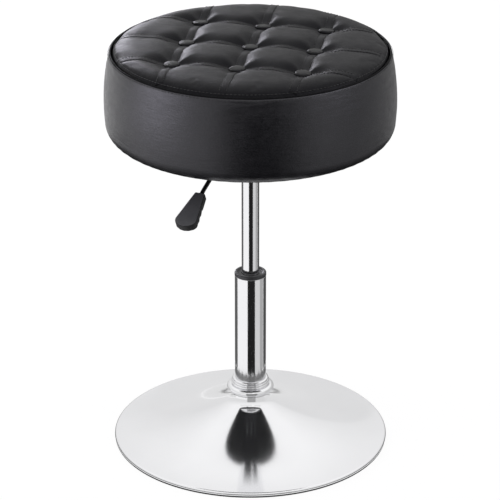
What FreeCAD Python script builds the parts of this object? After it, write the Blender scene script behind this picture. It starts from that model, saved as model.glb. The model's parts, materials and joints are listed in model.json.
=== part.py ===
import FreeCAD, Part
import math
import os

# Round vanity stool on a gas-lift column: tufted leather drum seat, chromed trumpet base, one release lever.
# Millimetres, +Z up, origin on the floor at the column's axis. The seat is drawn at the top of its travel.

# Fits and gaps
FIT = 0.05
RUN = 0.08
SKIN_GAP = 0.2
STOP_GAP = 0.2
CLEAR = 0.4

# Chromed base shell and its rubber ring
BASE_RADIUS = 200.0
BASE_SHEET = 1.6
FLARE_FOOT = 6.5
FLARE_ANGLE = 27.2
FLARE_BEYOND = 20.0
FLARE_POINTS = 9
NECK_ROUND = 18.0
NECK_STRAIGHT = 5.4
RIM_INNER_ROUND = 1.6
RING_FOOT = 2.2
RING_WIDTH = 6.0
RING_GRIP = 1.8
RING_SETBACK = 0.4

# Welded socket and stiffener under the neck
SOCKET_BOTTOM = 12.0
SOCKET_LENGTH = 44.0
SOCKET_WALL = 3.5
STIFFENER_TOP = 30.0
STIFFENER_SHEET = 3.0

# Outer column
COLUMN_RADIUS = 22.6
COLUMN_WALL = 1.5
COLUMN_TOP = 256.0
COLUMN_BOTTOM = 9.0
TAPER_SLOPE = 0.0131
TAPER_LEAD = 4.0
COLLAR_HEIGHT = 5.2
COLLAR_OVERHANG = 0.3
COLLAR_ROUND = 1.8
COLLAR_SPIGOT = 9.0
COLLAR_RECESS = 1.6
COLLAR_LIP = 3.6
BUSH_LENGTH = 84.0
TRIM_HEIGHT = 17.4
TRIM_SKIRT = 2.4
TRIM_OVERHANG = 11.5
TRIM_BELLY = 4.4
TRIM_FOOT = 5.0
TRIM_TOP_WALL = 1.3

# Thrust bearing and end plate at the foot of the column
END_PLATE_RAISE = 5.0
END_PLATE_SHEET = 3.0
RACE_WIDTH = 7.0
RACE_SHEET = 1.6
BALL_RADIUS = 1.6
BALL_COUNT = 8
BALL_GAP = 0.15
CAGE_SHEET = 1.4
CAGE_EDGE = 0.8
CLIP_SHEET = 1.2
CLIP_WIDTH = 3.0
CLIP_MOUTH = 5.0
CLIP_GROOVE = 0.8
ROD_TIP_LENGTH = 2.0

# Gas spring
ROD_RADIUS = 5.0
ROD_STEP = 1.0
CYLINDER_RADIUS = 12.6
CYLINDER_WALL = 2.0
LIFT_STROKE = 120.0
LIFT_SPARE = 1.4
BUMP_HEIGHT = 12.0
BUMP_WALL = 5.0
GUIDE_LENGTH = 14.0
SEAL_LENGTH = 7.0
PISTON_GAP = 2.0
PISTON_LENGTH = 12.0
NUT_HEIGHT = 4.0
NUT_ACROSS = 15.0
VALVE_LENGTH = 24.0
VALVE_PIN_RADIUS = 2.5
VALVE_PIN_LENGTH = 16.0
VALVE_HEAD_RADIUS = 4.0
VALVE_HEAD_HEIGHT = 4.4
VALVE_HEAD_EDGE = 2.4
VALVE_PRESS = 3.6

# Seat outline
SEAT_UNDERSIDE = 474.0
SEAT_SIDE = 124.0
SEAT_RADIUS = 205.2
SEAT_WIDEST = 50.0
SEAM_DRAW_IN = 10.2
CORNER_ROUND = 23.0
CORNER_DRAW_IN = 1.2
LEATHER = 1.6
TURN_UNDER = 41.0
WELT_WIDTH = 3.8
WELT_HEIGHT = 2.3
WELT_SINK = 1.5
WELT_CHAMFER = 1.0
PANEL_DEPTH = 12.0

# Tufted top panel
CROWN = 12.5
CROWN_EDGE = 45.0
CROWN_DROP = 3.0
SHOULDER_DROP = 6.6
SHOULDER_INSET = 17.0
TUFT_PITCH = 91.0
TUFT_TURN = -11.5
STRIP_WIDTH = 10.0
STRIP_DIP = 1.5
STRIP_RISE = 5.0
STRIP_EDGE_RISE = 2.5
STRIP_RUNOUT = 4.0
ROW_DROP = 0.8
PILLOW_REACH = 34.0
PILLOW_ROUND = 0.68
BUTTON_RADIUS = 12.0
BUTTON_EDGE = 3.0
BUTTON_DOME = 3.4
BUTTON_SEAT = 0.5
TIE_RADIUS = 0.7
ANCHOR_RADIUS = 6.0
ANCHOR_SHEET = 1.5

# Board, dust cover and fasteners
BOARD_SHEET = 15.0
FOAM_SKIRT = 4.0
DUST_SHEET = 0.8
DUST_LAP = 12.0
DUST_RAMP = 3.5
STAPLE_COUNT = 28
STAPLE_CROWN = 10.0
STAPLE_WIRE = 0.6
STAPLE_LEG = 7.0
STAPLE_INSET = 6.0
BOLT_SPACING = 120.0
BOLT_RADIUS = 3.0
BOLT_HEAD_ACROSS = 10.0
BOLT_HEAD_HEIGHT = 4.0
BOLT_SPARE = 2.0
WASHER_RADIUS = 7.0
WASHER_SHEET = 1.2
TEE_BARREL_WALL = 1.5
TEE_FLANGE = 5.0
TEE_FLANGE_SHEET = 1.2
TEE_BARREL = 11.0
PLATE_SHEET = 3.0
PLATE_MARGIN = 15.0
PLATE_ROUND = 12.0

# Lever, its bracket and the plate socket
LEVER_TURN = -25.0
LEVER_DROP = 14.3
LEVER_RADIUS = 3.0
LEVER_INNER = 6.0
LEVER_BEND_AT = 116.0
LEVER_BEND = 22.0
LEVER_KNEE_AT = 150.0
LEVER_KNEE = 27.0
LEVER_BEND_ROUND = 14.0
LEVER_PIN_GAP = 0.15
PIVOT_REACH = 38.0
PIVOT_RADIUS = 2.5
PIVOT_WELD = 1.0
PIVOT_WALL = 1.9
PIVOT_HEAD = 1.6
PIVOT_HEAD_RADIUS = 4.0
STOP_RADIUS = 2.0
STOP_REACH = 12.0
BRACKET_SHEET = 2.5
BRACKET_INNER = 39.0
BRACKET_FRONT = 12.0
BRACKET_BACK = 26.0
SLEEVE_END_GAP = 0.3
PLATE_SOCKET_LENGTH = 32.0
PLATE_SOCKET_WALL = 5.0
PLATE_SOCKET_LIP = 0.9
WEB_DROP = 1.5
GRIP_AWAY = 10.5
GRIP_LENGTH = 62.0
GRIP_NARROW = 15.0
GRIP_WIDE = 33.0
GRIP_SHOULDER = 53.0
GRIP_THICK = 11.5
GRIP_AXIS_DEPTH = 5.6
GRIP_HOLE = 40.0
GRIP_ROUND = 1.6
GRIP_CORNER = 2.0
GRIP_END_ROUND = 4.6
SCALLOP_COUNT = 3
SCALLOP_PITCH = 11.0
SCALLOP_FIRST = 25.0
SCALLOP_RADIUS = 8.0
SCALLOP_DEPTH = 1.8

# Heights that follow from the sizes above
UP = FreeCAD.Vector(0, 0, 1)
ORIGIN = FreeCAD.Vector(0, 0, 0)
NECK_RADIUS = COLUMN_RADIUS + FIT + BASE_SHEET
FLARE_STEEP = math.radians(FLARE_ANGLE)
FLARE_START = NECK_RADIUS + NECK_ROUND * (1 - math.sin(FLARE_STEEP))
FLARE_LEVEL = BASE_RADIUS + FLARE_BEYOND
FLARE_BEND = math.tan(FLARE_STEEP) / (2 * (FLARE_LEVEL - FLARE_START))
FLARE_RISE = FLARE_BEND * (FLARE_LEVEL - FLARE_START) ** 2
NECK_ARC_TOP = FLARE_FOOT + FLARE_RISE + NECK_ROUND * math.cos(FLARE_STEEP)
NECK_TOP = NECK_ARC_TOP + NECK_STRAIGHT
RIM_ROUND = RIM_INNER_ROUND + BASE_SHEET
SOCKET_TOP = SOCKET_BOTTOM + SOCKET_LENGTH
TAPER_TOP = SOCKET_TOP + TAPER_LEAD
BUSH_TOP = COLUMN_TOP - COLLAR_SPIGOT

ROD_TIP_RADIUS = ROD_RADIUS - ROD_STEP
END_PLATE_BOTTOM = COLUMN_BOTTOM + END_PLATE_RAISE
END_PLATE_TOP = END_PLATE_BOTTOM + END_PLATE_SHEET
LOWER_RACE_TOP = END_PLATE_TOP + RACE_SHEET
BALL_CENTRE = LOWER_RACE_TOP + FIT + BALL_RADIUS
UPPER_RACE_BOTTOM = BALL_CENTRE + BALL_RADIUS + BALL_GAP
ROD_SHOULDER = UPPER_RACE_BOTTOM + RACE_SHEET
BUMP_TOP = ROD_SHOULDER + BUMP_HEIGHT
RACE_RADIUS = ROD_RADIUS + RACE_WIDTH
BALL_PITCH_RADIUS = (ROD_TIP_RADIUS + RACE_RADIUS) / 2
CLIP_TOP = END_PLATE_BOTTOM - STOP_GAP
CYLINDER_BORE = CYLINDER_RADIUS - CYLINDER_WALL
CYLINDER_BOTTOM = BUMP_TOP + LIFT_SPARE + LIFT_STROKE
SEAL_BOTTOM = CYLINDER_BOTTOM + GUIDE_LENGTH
SEAL_TOP = SEAL_BOTTOM + SEAL_LENGTH
PISTON_BOTTOM = SEAL_TOP + PISTON_GAP
PISTON_TOP = PISTON_BOTTOM + PISTON_LENGTH
ROD_TOP = PISTON_TOP + NUT_HEIGHT + FIT

SEAM_RADIUS = SEAT_RADIUS - SEAM_DRAW_IN
SEAM_HEIGHT = SEAT_UNDERSIDE + SEAT_SIDE
CORNER_RADIUS = SEAT_RADIUS - CORNER_DRAW_IN
CORNER_CENTRE = FreeCAD.Vector(CORNER_RADIUS - CORNER_ROUND, 0, SEAT_UNDERSIDE + CORNER_ROUND)
TURN_UNDER_RADIUS = SEAT_RADIUS - TURN_UNDER
WELT_BOTTOM = SEAM_HEIGHT - WELT_SINK
WELT_INNER = SEAM_RADIUS - WELT_WIDTH / 2
WELT_OUTER = SEAM_RADIUS + WELT_WIDTH / 2
PANEL_BOTTOM = SEAM_HEIGHT - PANEL_DEPTH
PANEL_RADIUS = WELT_INNER - SKIN_GAP
BUTTON_BOTTOM = SEAM_HEIGHT - BUTTON_SEAT
BOARD_RADIUS = CORNER_CENTRE.x - SKIN_GAP
BOARD_BOTTOM = SEAT_UNDERSIDE + LEATHER
BOARD_TOP = BOARD_BOTTOM + BOARD_SHEET
PLATE_TOP = BOARD_BOTTOM - DUST_SHEET
PLATE_BOTTOM = PLATE_TOP - PLATE_SHEET
PLATE_SIZE = BOLT_SPACING + 2 * PLATE_MARGIN
TEE_BARREL_RADIUS = BOLT_RADIUS + TEE_BARREL_WALL
TEE_FLANGE_RADIUS = TEE_BARREL_RADIUS + TEE_FLANGE

LEVER_HEIGHT = PLATE_BOTTOM - LEVER_DROP
SLEEVE_RADIUS = PIVOT_RADIUS + PIVOT_WALL
PIVOT_HEIGHT = LEVER_HEIGHT + LEVER_RADIUS + SLEEVE_RADIUS - PIVOT_WELD
VALVE_PIN_TOP = LEVER_HEIGHT - LEVER_RADIUS - LEVER_PIN_GAP
VALVE_HEAD_BOTTOM = VALVE_PIN_TOP - VALVE_HEAD_HEIGHT
CYLINDER_TOP = VALVE_HEAD_BOTTOM - VALVE_PRESS - STOP_GAP
PLATE_SOCKET_TOP = CYLINDER_TOP + PLATE_SOCKET_LIP
PLATE_SOCKET_BOTTOM = PLATE_SOCKET_TOP - PLATE_SOCKET_LENGTH
PLATE_SOCKET_RADIUS = CYLINDER_RADIUS + PLATE_SOCKET_WALL
WEB_TOP = CYLINDER_TOP - WEB_DROP
WEB_BOTTOM = WEB_TOP - BRACKET_SHEET


def at(radius, height):
    """Return the profile point at a radius and a height."""
    return FreeCAD.Vector(radius, 0, height)


def line(start, end):
    """Return a straight edge."""
    return Part.LineSegment(start, end).toShape()


def arc(start, middle, end):
    """Return the edge of an arc through three points."""
    return Part.Arc(start, middle, end).toShape()


def chain(points):
    """Return the straight edges that join points in order."""
    return [line(start, end) for start, end in zip(points, points[1:])]


def turned(edges):
    """Return the solid that a closed profile of edges makes when it is turned about the axis."""
    return Part.Face(Part.Wire(edges)).revolve(ORIGIN, UP, 360)


def lathe(*points):
    """Return the turned solid of a straight-sided profile."""
    corners = [at(radius, height) for radius, height in points]
    return turned(chain(corners + corners[:1]))


def rod(radius, bottom, top, x=0, y=0):
    """Return an upright cylinder."""
    return Part.makeCylinder(radius, top - bottom, FreeCAD.Vector(x, y, bottom))


def ring(outer, inner, bottom, top, x=0, y=0):
    """Return an upright tube."""
    return rod(outer, bottom, top, x, y).cut(rod(inner, bottom - CLEAR, top + CLEAR, x, y))


def cross_pin(radius, half_length, reach, height):
    """Return a cylinder along X at a distance in front of the axis."""
    start = FreeCAD.Vector(-half_length, -reach, height)
    return Part.makeCylinder(radius, 2 * half_length, start, FreeCAD.Vector(1, 0, 0))


def hexagon(across, bottom, top):
    """Return a six-sided prism on the axis."""
    corner = across / math.sqrt(3)
    turns = [math.radians(60 * step) for step in range(7)]
    points = [FreeCAD.Vector(corner * math.cos(turn), corner * math.sin(turn), bottom) for turn in turns]
    return Part.Face(Part.makePolygon(points)).extrude(UP * (top - bottom))


def moved(shape, x, y):
    """Return a copy of a shape at another place in plan."""
    copy = shape.copy()
    copy.translate(FreeCAD.Vector(x, y, 0))
    return copy


def spun(shape, degrees):
    """Return a copy of a shape turned about the axis."""
    copy = shape.copy()
    copy.rotate(ORIGIN, UP, degrees)
    return copy


def group(shapes):
    """Return separate solids as one group."""
    return Part.makeCompound(shapes)


def save(name, shape):
    """Write one piece, as the solids that it holds."""
    solids = shape.Solids
    piece = solids[0] if len(solids) == 1 else group(solids)
    piece.exportStep("parts/" + name + ".step")
    print(name, len(solids), "solids", round(piece.Volume, 1), "mm3", "valid" if piece.isValid() else "INVALID")


# Base


def flare_height(radius):
    """Return the height of the trumpet's top face."""
    return FLARE_FOOT + FLARE_BEND * (FLARE_LEVEL - radius) ** 2


def flare_slope(radius):
    """Return how steeply the trumpet's top face falls."""
    return 2 * FLARE_BEND * (FLARE_LEVEL - radius)


def flare_point(radius, depth):
    """Return the point at a depth below the trumpet's top face."""
    slope = flare_slope(radius)
    normal = FreeCAD.Vector(slope, 0, 1).normalize()
    return at(radius, flare_height(radius)) - normal * depth


def flare_edge(depth, end_radius):
    """Return the curve of the trumpet at a depth, from the neck to the rim."""
    step = (end_radius - FLARE_START) / (FLARE_POINTS - 1)
    curve = Part.BSplineCurve()
    curve.interpolate([flare_point(FLARE_START + step * index, depth) for index in range(FLARE_POINTS)])
    return curve.toShape()


def flare_end():
    """Return the radius where the trumpet passes into its rounded rim."""
    radius = BASE_RADIUS - RIM_ROUND
    slope = flare_slope(radius)
    return radius + RIM_ROUND * slope / math.hypot(slope, 1)


def rim_centre():
    """Return the centre of the rim's round."""
    return flare_point(flare_end(), RIM_ROUND)


def round_middle(centre, start, end):
    """Return the middle of the shorter arc about a centre."""
    towards = (start - centre).normalize() + (end - centre).normalize()
    return centre + towards.normalize() * (start - centre).Length


def base_side(depth):
    """Return the edges of the shell at a depth below its top face, from the neck's top to the lip's foot."""
    neck_top = at(NECK_RADIUS - depth, NECK_TOP)
    neck_foot = at(NECK_RADIUS - depth, NECK_ARC_TOP)
    neck_centre = at(NECK_RADIUS + NECK_ROUND, NECK_ARC_TOP)
    start = flare_point(FLARE_START, depth)
    end = flare_point(flare_end(), depth)
    lip = rim_centre() + FreeCAD.Vector(RIM_ROUND - depth, 0, 0)
    foot = at(lip.x, RING_FOOT)
    return [
        line(neck_top, neck_foot),
        arc(neck_foot, round_middle(neck_centre, neck_foot, start), start),
        flare_edge(depth, flare_end()),
        arc(end, round_middle(rim_centre(), end, lip), lip),
        line(lip, foot),
    ]


def under_flare_radius(height):
    """Return the radius of the shell's underside at a height, by halving."""
    low, high = FLARE_START, BASE_RADIUS
    for _ in range(40):
        middle = (low + high) / 2
        if flare_point(middle, BASE_SHEET).z > height:
            low = middle
        else:
            high = middle
    return flare_point(low, BASE_SHEET).x


def make_base_shell():
    """Return the spun trumpet with its neck and rolled rim."""
    lip = rim_centre().x + RIM_ROUND
    top = line(at(NECK_RADIUS - BASE_SHEET, NECK_TOP), at(NECK_RADIUS, NECK_TOP))
    foot = line(at(lip, RING_FOOT), at(lip - BASE_SHEET, RING_FOOT))
    return turned([top] + base_side(0) + [foot] + base_side(BASE_SHEET)[::-1])


def make_base_edge_ring():
    """Return the rubber ring that grips the lip and stands on the floor."""
    lip = rim_centre().x + RIM_ROUND
    outer = lip - RING_SETBACK
    grip = lip - BASE_SHEET - FIT
    inner = lip - RING_WIDTH
    top = RING_FOOT + RING_GRIP
    return lathe((inner, 0), (outer, 0), (outer, RING_FOOT), (grip, RING_FOOT), (grip, top), (inner, top))


def column_side(height):
    """Return the radius of the column's outer face at a height."""
    return COLUMN_RADIUS - TAPER_SLOPE * max(0.0, TAPER_TOP - height)


def make_base_socket():
    """Return the welded socket with its tapered bore."""
    outer = COLUMN_RADIUS + FIT + SOCKET_WALL
    low = column_side(SOCKET_BOTTOM) + FIT
    high = column_side(SOCKET_TOP) + FIT
    return lathe((low, SOCKET_BOTTOM), (outer, SOCKET_BOTTOM), (outer, SOCKET_TOP), (high, SOCKET_TOP))


def make_base_stiffener():
    """Return the disc welded between the socket and the shell's underside."""
    bottom = STIFFENER_TOP - STIFFENER_SHEET
    inner = COLUMN_RADIUS + 2 * FIT + SOCKET_WALL
    return ring(under_flare_radius(STIFFENER_TOP) - FIT, inner, bottom, STIFFENER_TOP)


def make_foot_trim_ring():
    """Return the bell-shaped ring that sits on the neck and hides the joint."""
    bore = COLUMN_RADIUS + FIT
    skirt = NECK_RADIUS + STOP_GAP
    foot_height = NECK_TOP - TRIM_SKIRT
    top_height = NECK_TOP + TRIM_HEIGHT
    foot = at(COLUMN_RADIUS + TRIM_FOOT, foot_height)
    belly = at(COLUMN_RADIUS + TRIM_OVERHANG, foot_height + TRIM_BELLY)
    shoulder = at(COLUMN_RADIUS + TRIM_TOP_WALL, top_height)
    foot_middle = (foot + belly) / 2 + FreeCAD.Vector(1, 0, -1) * (TRIM_BELLY / 5)
    dome_middle = (belly + shoulder) / 2 + FreeCAD.Vector(1, 0, 0.5) * (TRIM_OVERHANG / 5)
    inside = [shoulder, at(bore, top_height), at(bore, NECK_TOP), at(skirt, NECK_TOP), at(skirt, foot_height), foot]
    return turned([arc(foot, foot_middle, belly), arc(belly, dome_middle, shoulder)] + chain(inside))


# Column


def make_column_tube():
    """Return the outer tube with its tapered foot."""
    foot = column_side(COLUMN_BOTTOM)
    wall = COLUMN_WALL
    return lathe(
        (foot, COLUMN_BOTTOM), (COLUMN_RADIUS, TAPER_TOP), (COLUMN_RADIUS, COLUMN_TOP),
        (COLUMN_RADIUS - wall, COLUMN_TOP), (COLUMN_RADIUS - wall, TAPER_TOP), (foot - wall, COLUMN_BOTTOM))


def make_column_collar():
    """Return the cap on the column's top end, with a dished top and a spigot inside the tube."""
    outer = COLUMN_RADIUS + COLLAR_OVERHANG
    bore = CYLINDER_RADIUS + CLEAR
    spigot = COLUMN_RADIUS - COLUMN_WALL - FIT
    top = COLUMN_TOP + COLLAR_HEIGHT
    centre = at(outer - COLLAR_ROUND, top - COLLAR_ROUND)
    side = at(outer, centre.z)
    crest = at(centre.x, top)
    dish = at(outer - COLLAR_ROUND - COLLAR_LIP, top - COLLAR_RECESS)
    spigot_foot = COLUMN_TOP - COLLAR_SPIGOT
    rest = [crest, dish, at(bore, dish.z), at(bore, spigot_foot), at(spigot, spigot_foot)]
    rest += [at(spigot, COLUMN_TOP), at(outer, COLUMN_TOP), side]
    return turned([arc(side, round_middle(centre, side, crest), crest)] + chain(rest))


def make_guide_bush():
    """Return the plastic sleeve that the gas cylinder slides in."""
    outer = COLUMN_RADIUS - COLUMN_WALL - FIT
    return ring(outer, CYLINDER_RADIUS + RUN, BUSH_TOP - BUSH_LENGTH, BUSH_TOP)


def make_column_end_plate():
    """Return the disc pressed into the foot of the column, with the rod's hole."""
    outer = column_side(END_PLATE_BOTTOM) - COLUMN_WALL - FIT
    return ring(outer, ROD_TIP_RADIUS + RUN, END_PLATE_BOTTOM, END_PLATE_TOP)


def ball_places():
    """Return the centres of the bearing's balls."""
    turns = [2 * math.pi * index / BALL_COUNT for index in range(BALL_COUNT)]
    reach = BALL_PITCH_RADIUS
    return [FreeCAD.Vector(reach * math.cos(turn), reach * math.sin(turn), BALL_CENTRE) for turn in turns]


def make_bearing_cage():
    """Return the flat ring that spaces the balls."""
    bottom = BALL_CENTRE - CAGE_SHEET / 2
    top = BALL_CENTRE + CAGE_SHEET / 2
    cage = ring(RACE_RADIUS - CAGE_EDGE, ROD_TIP_RADIUS + CAGE_EDGE, bottom, top)
    holes = [rod(BALL_RADIUS + STOP_GAP, bottom - CLEAR, top + CLEAR, place.x, place.y) for place in ball_places()]
    return cage.cut(group(holes))


def make_bearing_balls():
    """Return the balls as separate solids."""
    return group([Part.makeSphere(BALL_RADIUS, place) for place in ball_places()])


# Gas spring


def make_piston_rod():
    """Return the rod with its stepped foot and the clip's groove."""
    foot = CLIP_TOP - CLIP_SHEET - ROD_TIP_LENGTH
    groove = ROD_TIP_RADIUS - CLIP_GROOVE
    clip_bottom = CLIP_TOP - CLIP_SHEET
    tip = rod(ROD_TIP_RADIUS, foot, ROD_SHOULDER)
    cut = ring(ROD_TIP_RADIUS + CLEAR, groove, clip_bottom - FIT, CLIP_TOP + FIT)
    return tip.cut(cut).fuse(rod(ROD_RADIUS, ROD_SHOULDER, ROD_TOP)).removeSplitter()


def make_rod_clip():
    """Return the open clip under the end plate."""
    bottom = CLIP_TOP - CLIP_SHEET
    groove = ROD_TIP_RADIUS - CLIP_GROOVE + FIT
    outer = ROD_TIP_RADIUS + CLIP_WIDTH
    mouth = Part.makeBox(CLIP_MOUTH, 2 * outer, 2 * CLIP_SHEET, FreeCAD.Vector(-CLIP_MOUTH / 2, 0, bottom - CLEAR))
    return ring(outer, groove, bottom, CLIP_TOP).cut(mouth)


def make_piston_nut():
    """Return the hexagon nut that holds the piston on the rod."""
    nut = hexagon(NUT_ACROSS, PISTON_TOP, PISTON_TOP + NUT_HEIGHT)
    return nut.cut(rod(ROD_RADIUS + FIT, PISTON_TOP - CLEAR, PISTON_TOP + NUT_HEIGHT + CLEAR))


def cylinder_side(height):
    """Return the radius of the gas cylinder's outer face at a height."""
    return CYLINDER_RADIUS - TAPER_SLOPE * max(0.0, height - PLATE_SOCKET_BOTTOM)


def make_gas_cylinder():
    """Return the cylinder tube with its tapered top."""
    top = cylinder_side(CYLINDER_TOP)
    return lathe(
        (CYLINDER_BORE, CYLINDER_BOTTOM), (CYLINDER_RADIUS, CYLINDER_BOTTOM),
        (CYLINDER_RADIUS, PLATE_SOCKET_BOTTOM), (top, CYLINDER_TOP), (CYLINDER_BORE, CYLINDER_TOP))


def make_valve_body():
    """Return the plug in the cylinder's top with a blind bore for the valve pin."""
    bore_bottom = VALVE_HEAD_BOTTOM - VALVE_PIN_LENGTH - VALVE_PRESS - STOP_GAP
    plug = rod(CYLINDER_BORE - FIT, CYLINDER_TOP - VALVE_LENGTH, CYLINDER_TOP)
    return plug.cut(rod(VALVE_PIN_RADIUS + RUN, bore_bottom, CYLINDER_TOP + CLEAR))


def make_valve_pin():
    """Return the release pin with its domed head."""
    edge = at(VALVE_HEAD_RADIUS, VALVE_HEAD_BOTTOM + VALVE_HEAD_EDGE)
    top = at(0, VALVE_PIN_TOP)
    rise = VALVE_HEAD_HEIGHT - VALVE_HEAD_EDGE
    dome_radius = (VALVE_HEAD_RADIUS ** 2 + rise ** 2) / (2 * rise)
    centre = at(0, VALVE_PIN_TOP - dome_radius)
    foot = VALVE_HEAD_BOTTOM - VALVE_PIN_LENGTH
    rest = [top, at(0, foot), at(VALVE_PIN_RADIUS, foot), at(VALVE_PIN_RADIUS, VALVE_HEAD_BOTTOM)]
    rest += [at(VALVE_HEAD_RADIUS, VALVE_HEAD_BOTTOM), edge]
    return turned([arc(edge, round_middle(centre, edge, top), top)] + chain(rest))


# Seat


def side_circle(inset):
    """Return the circle of the band's bulged side at an inset from its outer face."""
    return Part.Circle(
        at(WELT_OUTER - inset, WELT_BOTTOM),
        at(SEAT_RADIUS - inset, SEAT_UNDERSIDE + SEAT_WIDEST),
        at(CORNER_RADIUS - inset, CORNER_CENTRE.z))


def side_point(inset, height):
    """Return the point of the band's bulged side at an inset and a height."""
    circle = side_circle(inset)
    return at(circle.Center.x + math.sqrt(circle.Radius ** 2 - (height - circle.Center.z) ** 2), height)


def side_edge(inset, low, high):
    """Return the bulged side between two heights, from the top down."""
    return arc(side_point(inset, high), side_point(inset, (low + high) / 2), side_point(inset, low))


def corner_edge(inset, low):
    """Return the rounded lower corner, from its top down to a height."""
    radius = CORNER_ROUND - inset
    drop = CORNER_CENTRE.z - low
    start = CORNER_CENTRE + FreeCAD.Vector(radius, 0, 0)
    end = CORNER_CENTRE + FreeCAD.Vector(math.sqrt(max(0.0, radius ** 2 - drop ** 2)), 0, -drop)
    return arc(start, round_middle(CORNER_CENTRE, start, end), end), end


def make_side_band():
    """Return the leather band, turned under at its foot."""
    outer_corner, outer_foot = corner_edge(0, SEAT_UNDERSIDE)
    inner_corner, inner_foot = corner_edge(LEATHER, BOARD_BOTTOM)
    outer = [side_edge(0, CORNER_CENTRE.z, WELT_BOTTOM), outer_corner]
    inner = [side_edge(LEATHER, CORNER_CENTRE.z, WELT_BOTTOM), inner_corner]
    hem = chain([outer_foot, at(TURN_UNDER_RADIUS, SEAT_UNDERSIDE), at(TURN_UNDER_RADIUS, BOARD_BOTTOM), inner_foot])
    top = line(side_point(LEATHER, WELT_BOTTOM), side_point(0, WELT_BOTTOM))
    return turned([top] + outer + hem + inner[::-1])


def make_seat_foam():
    """Return the foam block on the board, with a skirt round the board's edge."""
    inset = LEATHER + SKIN_GAP
    corner, skirt_foot = corner_edge(inset, BOARD_BOTTOM + FOAM_SKIRT)
    side = side_edge(inset, CORNER_CENTRE.z, PANEL_BOTTOM)
    skirt = BOARD_RADIUS + SKIN_GAP
    under = [skirt_foot, at(skirt, skirt_foot.z), at(skirt, BOARD_TOP), at(0, BOARD_TOP), at(0, PANEL_BOTTOM)]
    under.append(side_point(inset, PANEL_BOTTOM))
    foam = turned([side, corner] + chain(under))
    return foam.cut(tie_holes(BOARD_TOP, PANEL_BOTTOM))


def tuft_places():
    """Return the centres of the nine tufts in plan."""
    turn = math.radians(TUFT_TURN)
    places = []
    for row in (-1, 0, 1):
        for column in (-1, 0, 1):
            x, y = column * TUFT_PITCH, row * TUFT_PITCH
            places.append((x * math.cos(turn) - y * math.sin(turn), x * math.sin(turn) + y * math.cos(turn)))
    return places


def tie_holes(bottom, top):
    """Return the holes that the button ties pass through."""
    radius = TIE_RADIUS + STOP_GAP
    return group([rod(radius, bottom - CLEAR, top + CLEAR, x, y) for x, y in tuft_places()])


def channel_section(station, depth, ceiling):
    """Return one section of a sewn channel: a flat strip between two rounded pillow flanks."""
    half = STRIP_WIDTH / 2
    rise = ceiling - depth
    bulge = half + (PILLOW_REACH - half) * (1 - PILLOW_ROUND)

    def corner(across, height):
        return FreeCAD.Vector(station, across, height)

    left = arc(corner(-PILLOW_REACH, ceiling), corner(-bulge, depth + rise * PILLOW_ROUND), corner(-half, depth))
    right = arc(corner(half, depth), corner(bulge, depth + rise * PILLOW_ROUND), corner(PILLOW_REACH, ceiling))
    lid = chain([
        corner(PILLOW_REACH, ceiling), corner(PILLOW_REACH, ceiling + CROWN),
        corner(-PILLOW_REACH, ceiling + CROWN), corner(-PILLOW_REACH, ceiling)])
    return Part.Wire([left, line(corner(-half, depth), corner(half, depth)), right] + lid)


def channel(offset, drop):
    """Return the cutter of one sewn channel along X, deepest at its tufts and open at the seam."""
    reach = math.sqrt(PANEL_RADIUS ** 2 - offset ** 2) + STRIP_RUNOUT
    span = (TUFT_PITCH + reach) / 2
    dip = SEAM_HEIGHT + STRIP_DIP - drop
    crest = dip + STRIP_RISE
    rim = WELT_BOTTOM - drop
    half = TUFT_PITCH / 2
    stations = [(-reach, rim), (-span, dip + STRIP_EDGE_RISE), (-TUFT_PITCH, dip), (-half, crest), (0, dip)]
    stations += [(-station, depth) for station, depth in stations[3::-1]]
    ceiling = SEAM_HEIGHT + CROWN + CLEAR
    cutter = Part.makeLoft([channel_section(station, depth, ceiling) for station, depth in stations], True)
    cutter.translate(FreeCAD.Vector(0, offset, 0))
    return cutter


def make_top_panel():
    """Return the quilted top panel: crowned, with sewn channels and button pockets."""
    foot = side_point(LEATHER + SKIN_GAP, PANEL_BOTTOM)
    edge = at(PANEL_RADIUS, WELT_BOTTOM)
    top = SEAM_HEIGHT + CROWN
    shoulder = at(SEAM_RADIUS - CROWN_EDGE, top - CROWN_DROP)
    bend = at(SEAM_RADIUS - SHOULDER_INSET, top - SHOULDER_DROP)
    crown_middle = at(shoulder.x / 2, top - CROWN_DROP / 4)
    base = [at(0, top), at(0, PANEL_BOTTOM), foot, edge]
    panel = turned([arc(edge, bend, shoulder), arc(shoulder, crown_middle, at(0, top))] + chain(base))
    for offset in (-TUFT_PITCH, 0, TUFT_PITCH):
        panel = panel.cut(spun(channel(offset, ROW_DROP), TUFT_TURN))
        panel = panel.cut(spun(channel(offset, 0), TUFT_TURN + 90))
    pocket = BUTTON_RADIUS + SKIN_GAP
    pockets = [rod(pocket, BUTTON_BOTTOM, top + CLEAR, x, y) for x, y in tuft_places()]
    return panel.cut(group(pockets)).cut(tie_holes(PANEL_BOTTOM, BUTTON_BOTTOM))


def make_edge_welt():
    """Return the narrow raised strip over the seam between the band and the panel."""
    top = WELT_BOTTOM + WELT_HEIGHT
    side = top - WELT_CHAMFER
    return lathe(
        (WELT_INNER, WELT_BOTTOM), (WELT_OUTER, WELT_BOTTOM), (WELT_OUTER, side),
        (WELT_OUTER - WELT_CHAMFER, top), (WELT_INNER + WELT_CHAMFER, top), (WELT_INNER, side))


def make_tuft_buttons():
    """Return the nine domed buttons."""
    edge = at(BUTTON_RADIUS, BUTTON_BOTTOM + BUTTON_EDGE)
    top = at(0, edge.z + BUTTON_DOME)
    dome_radius = (BUTTON_RADIUS ** 2 + BUTTON_DOME ** 2) / (2 * BUTTON_DOME)
    centre = at(0, top.z - dome_radius)
    rest = [top, at(0, BUTTON_BOTTOM), at(BUTTON_RADIUS, BUTTON_BOTTOM), edge]
    button = turned([arc(edge, round_middle(centre, edge, top), top)] + chain(rest))
    return group([moved(button, x, y) for x, y in tuft_places()])


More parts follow.
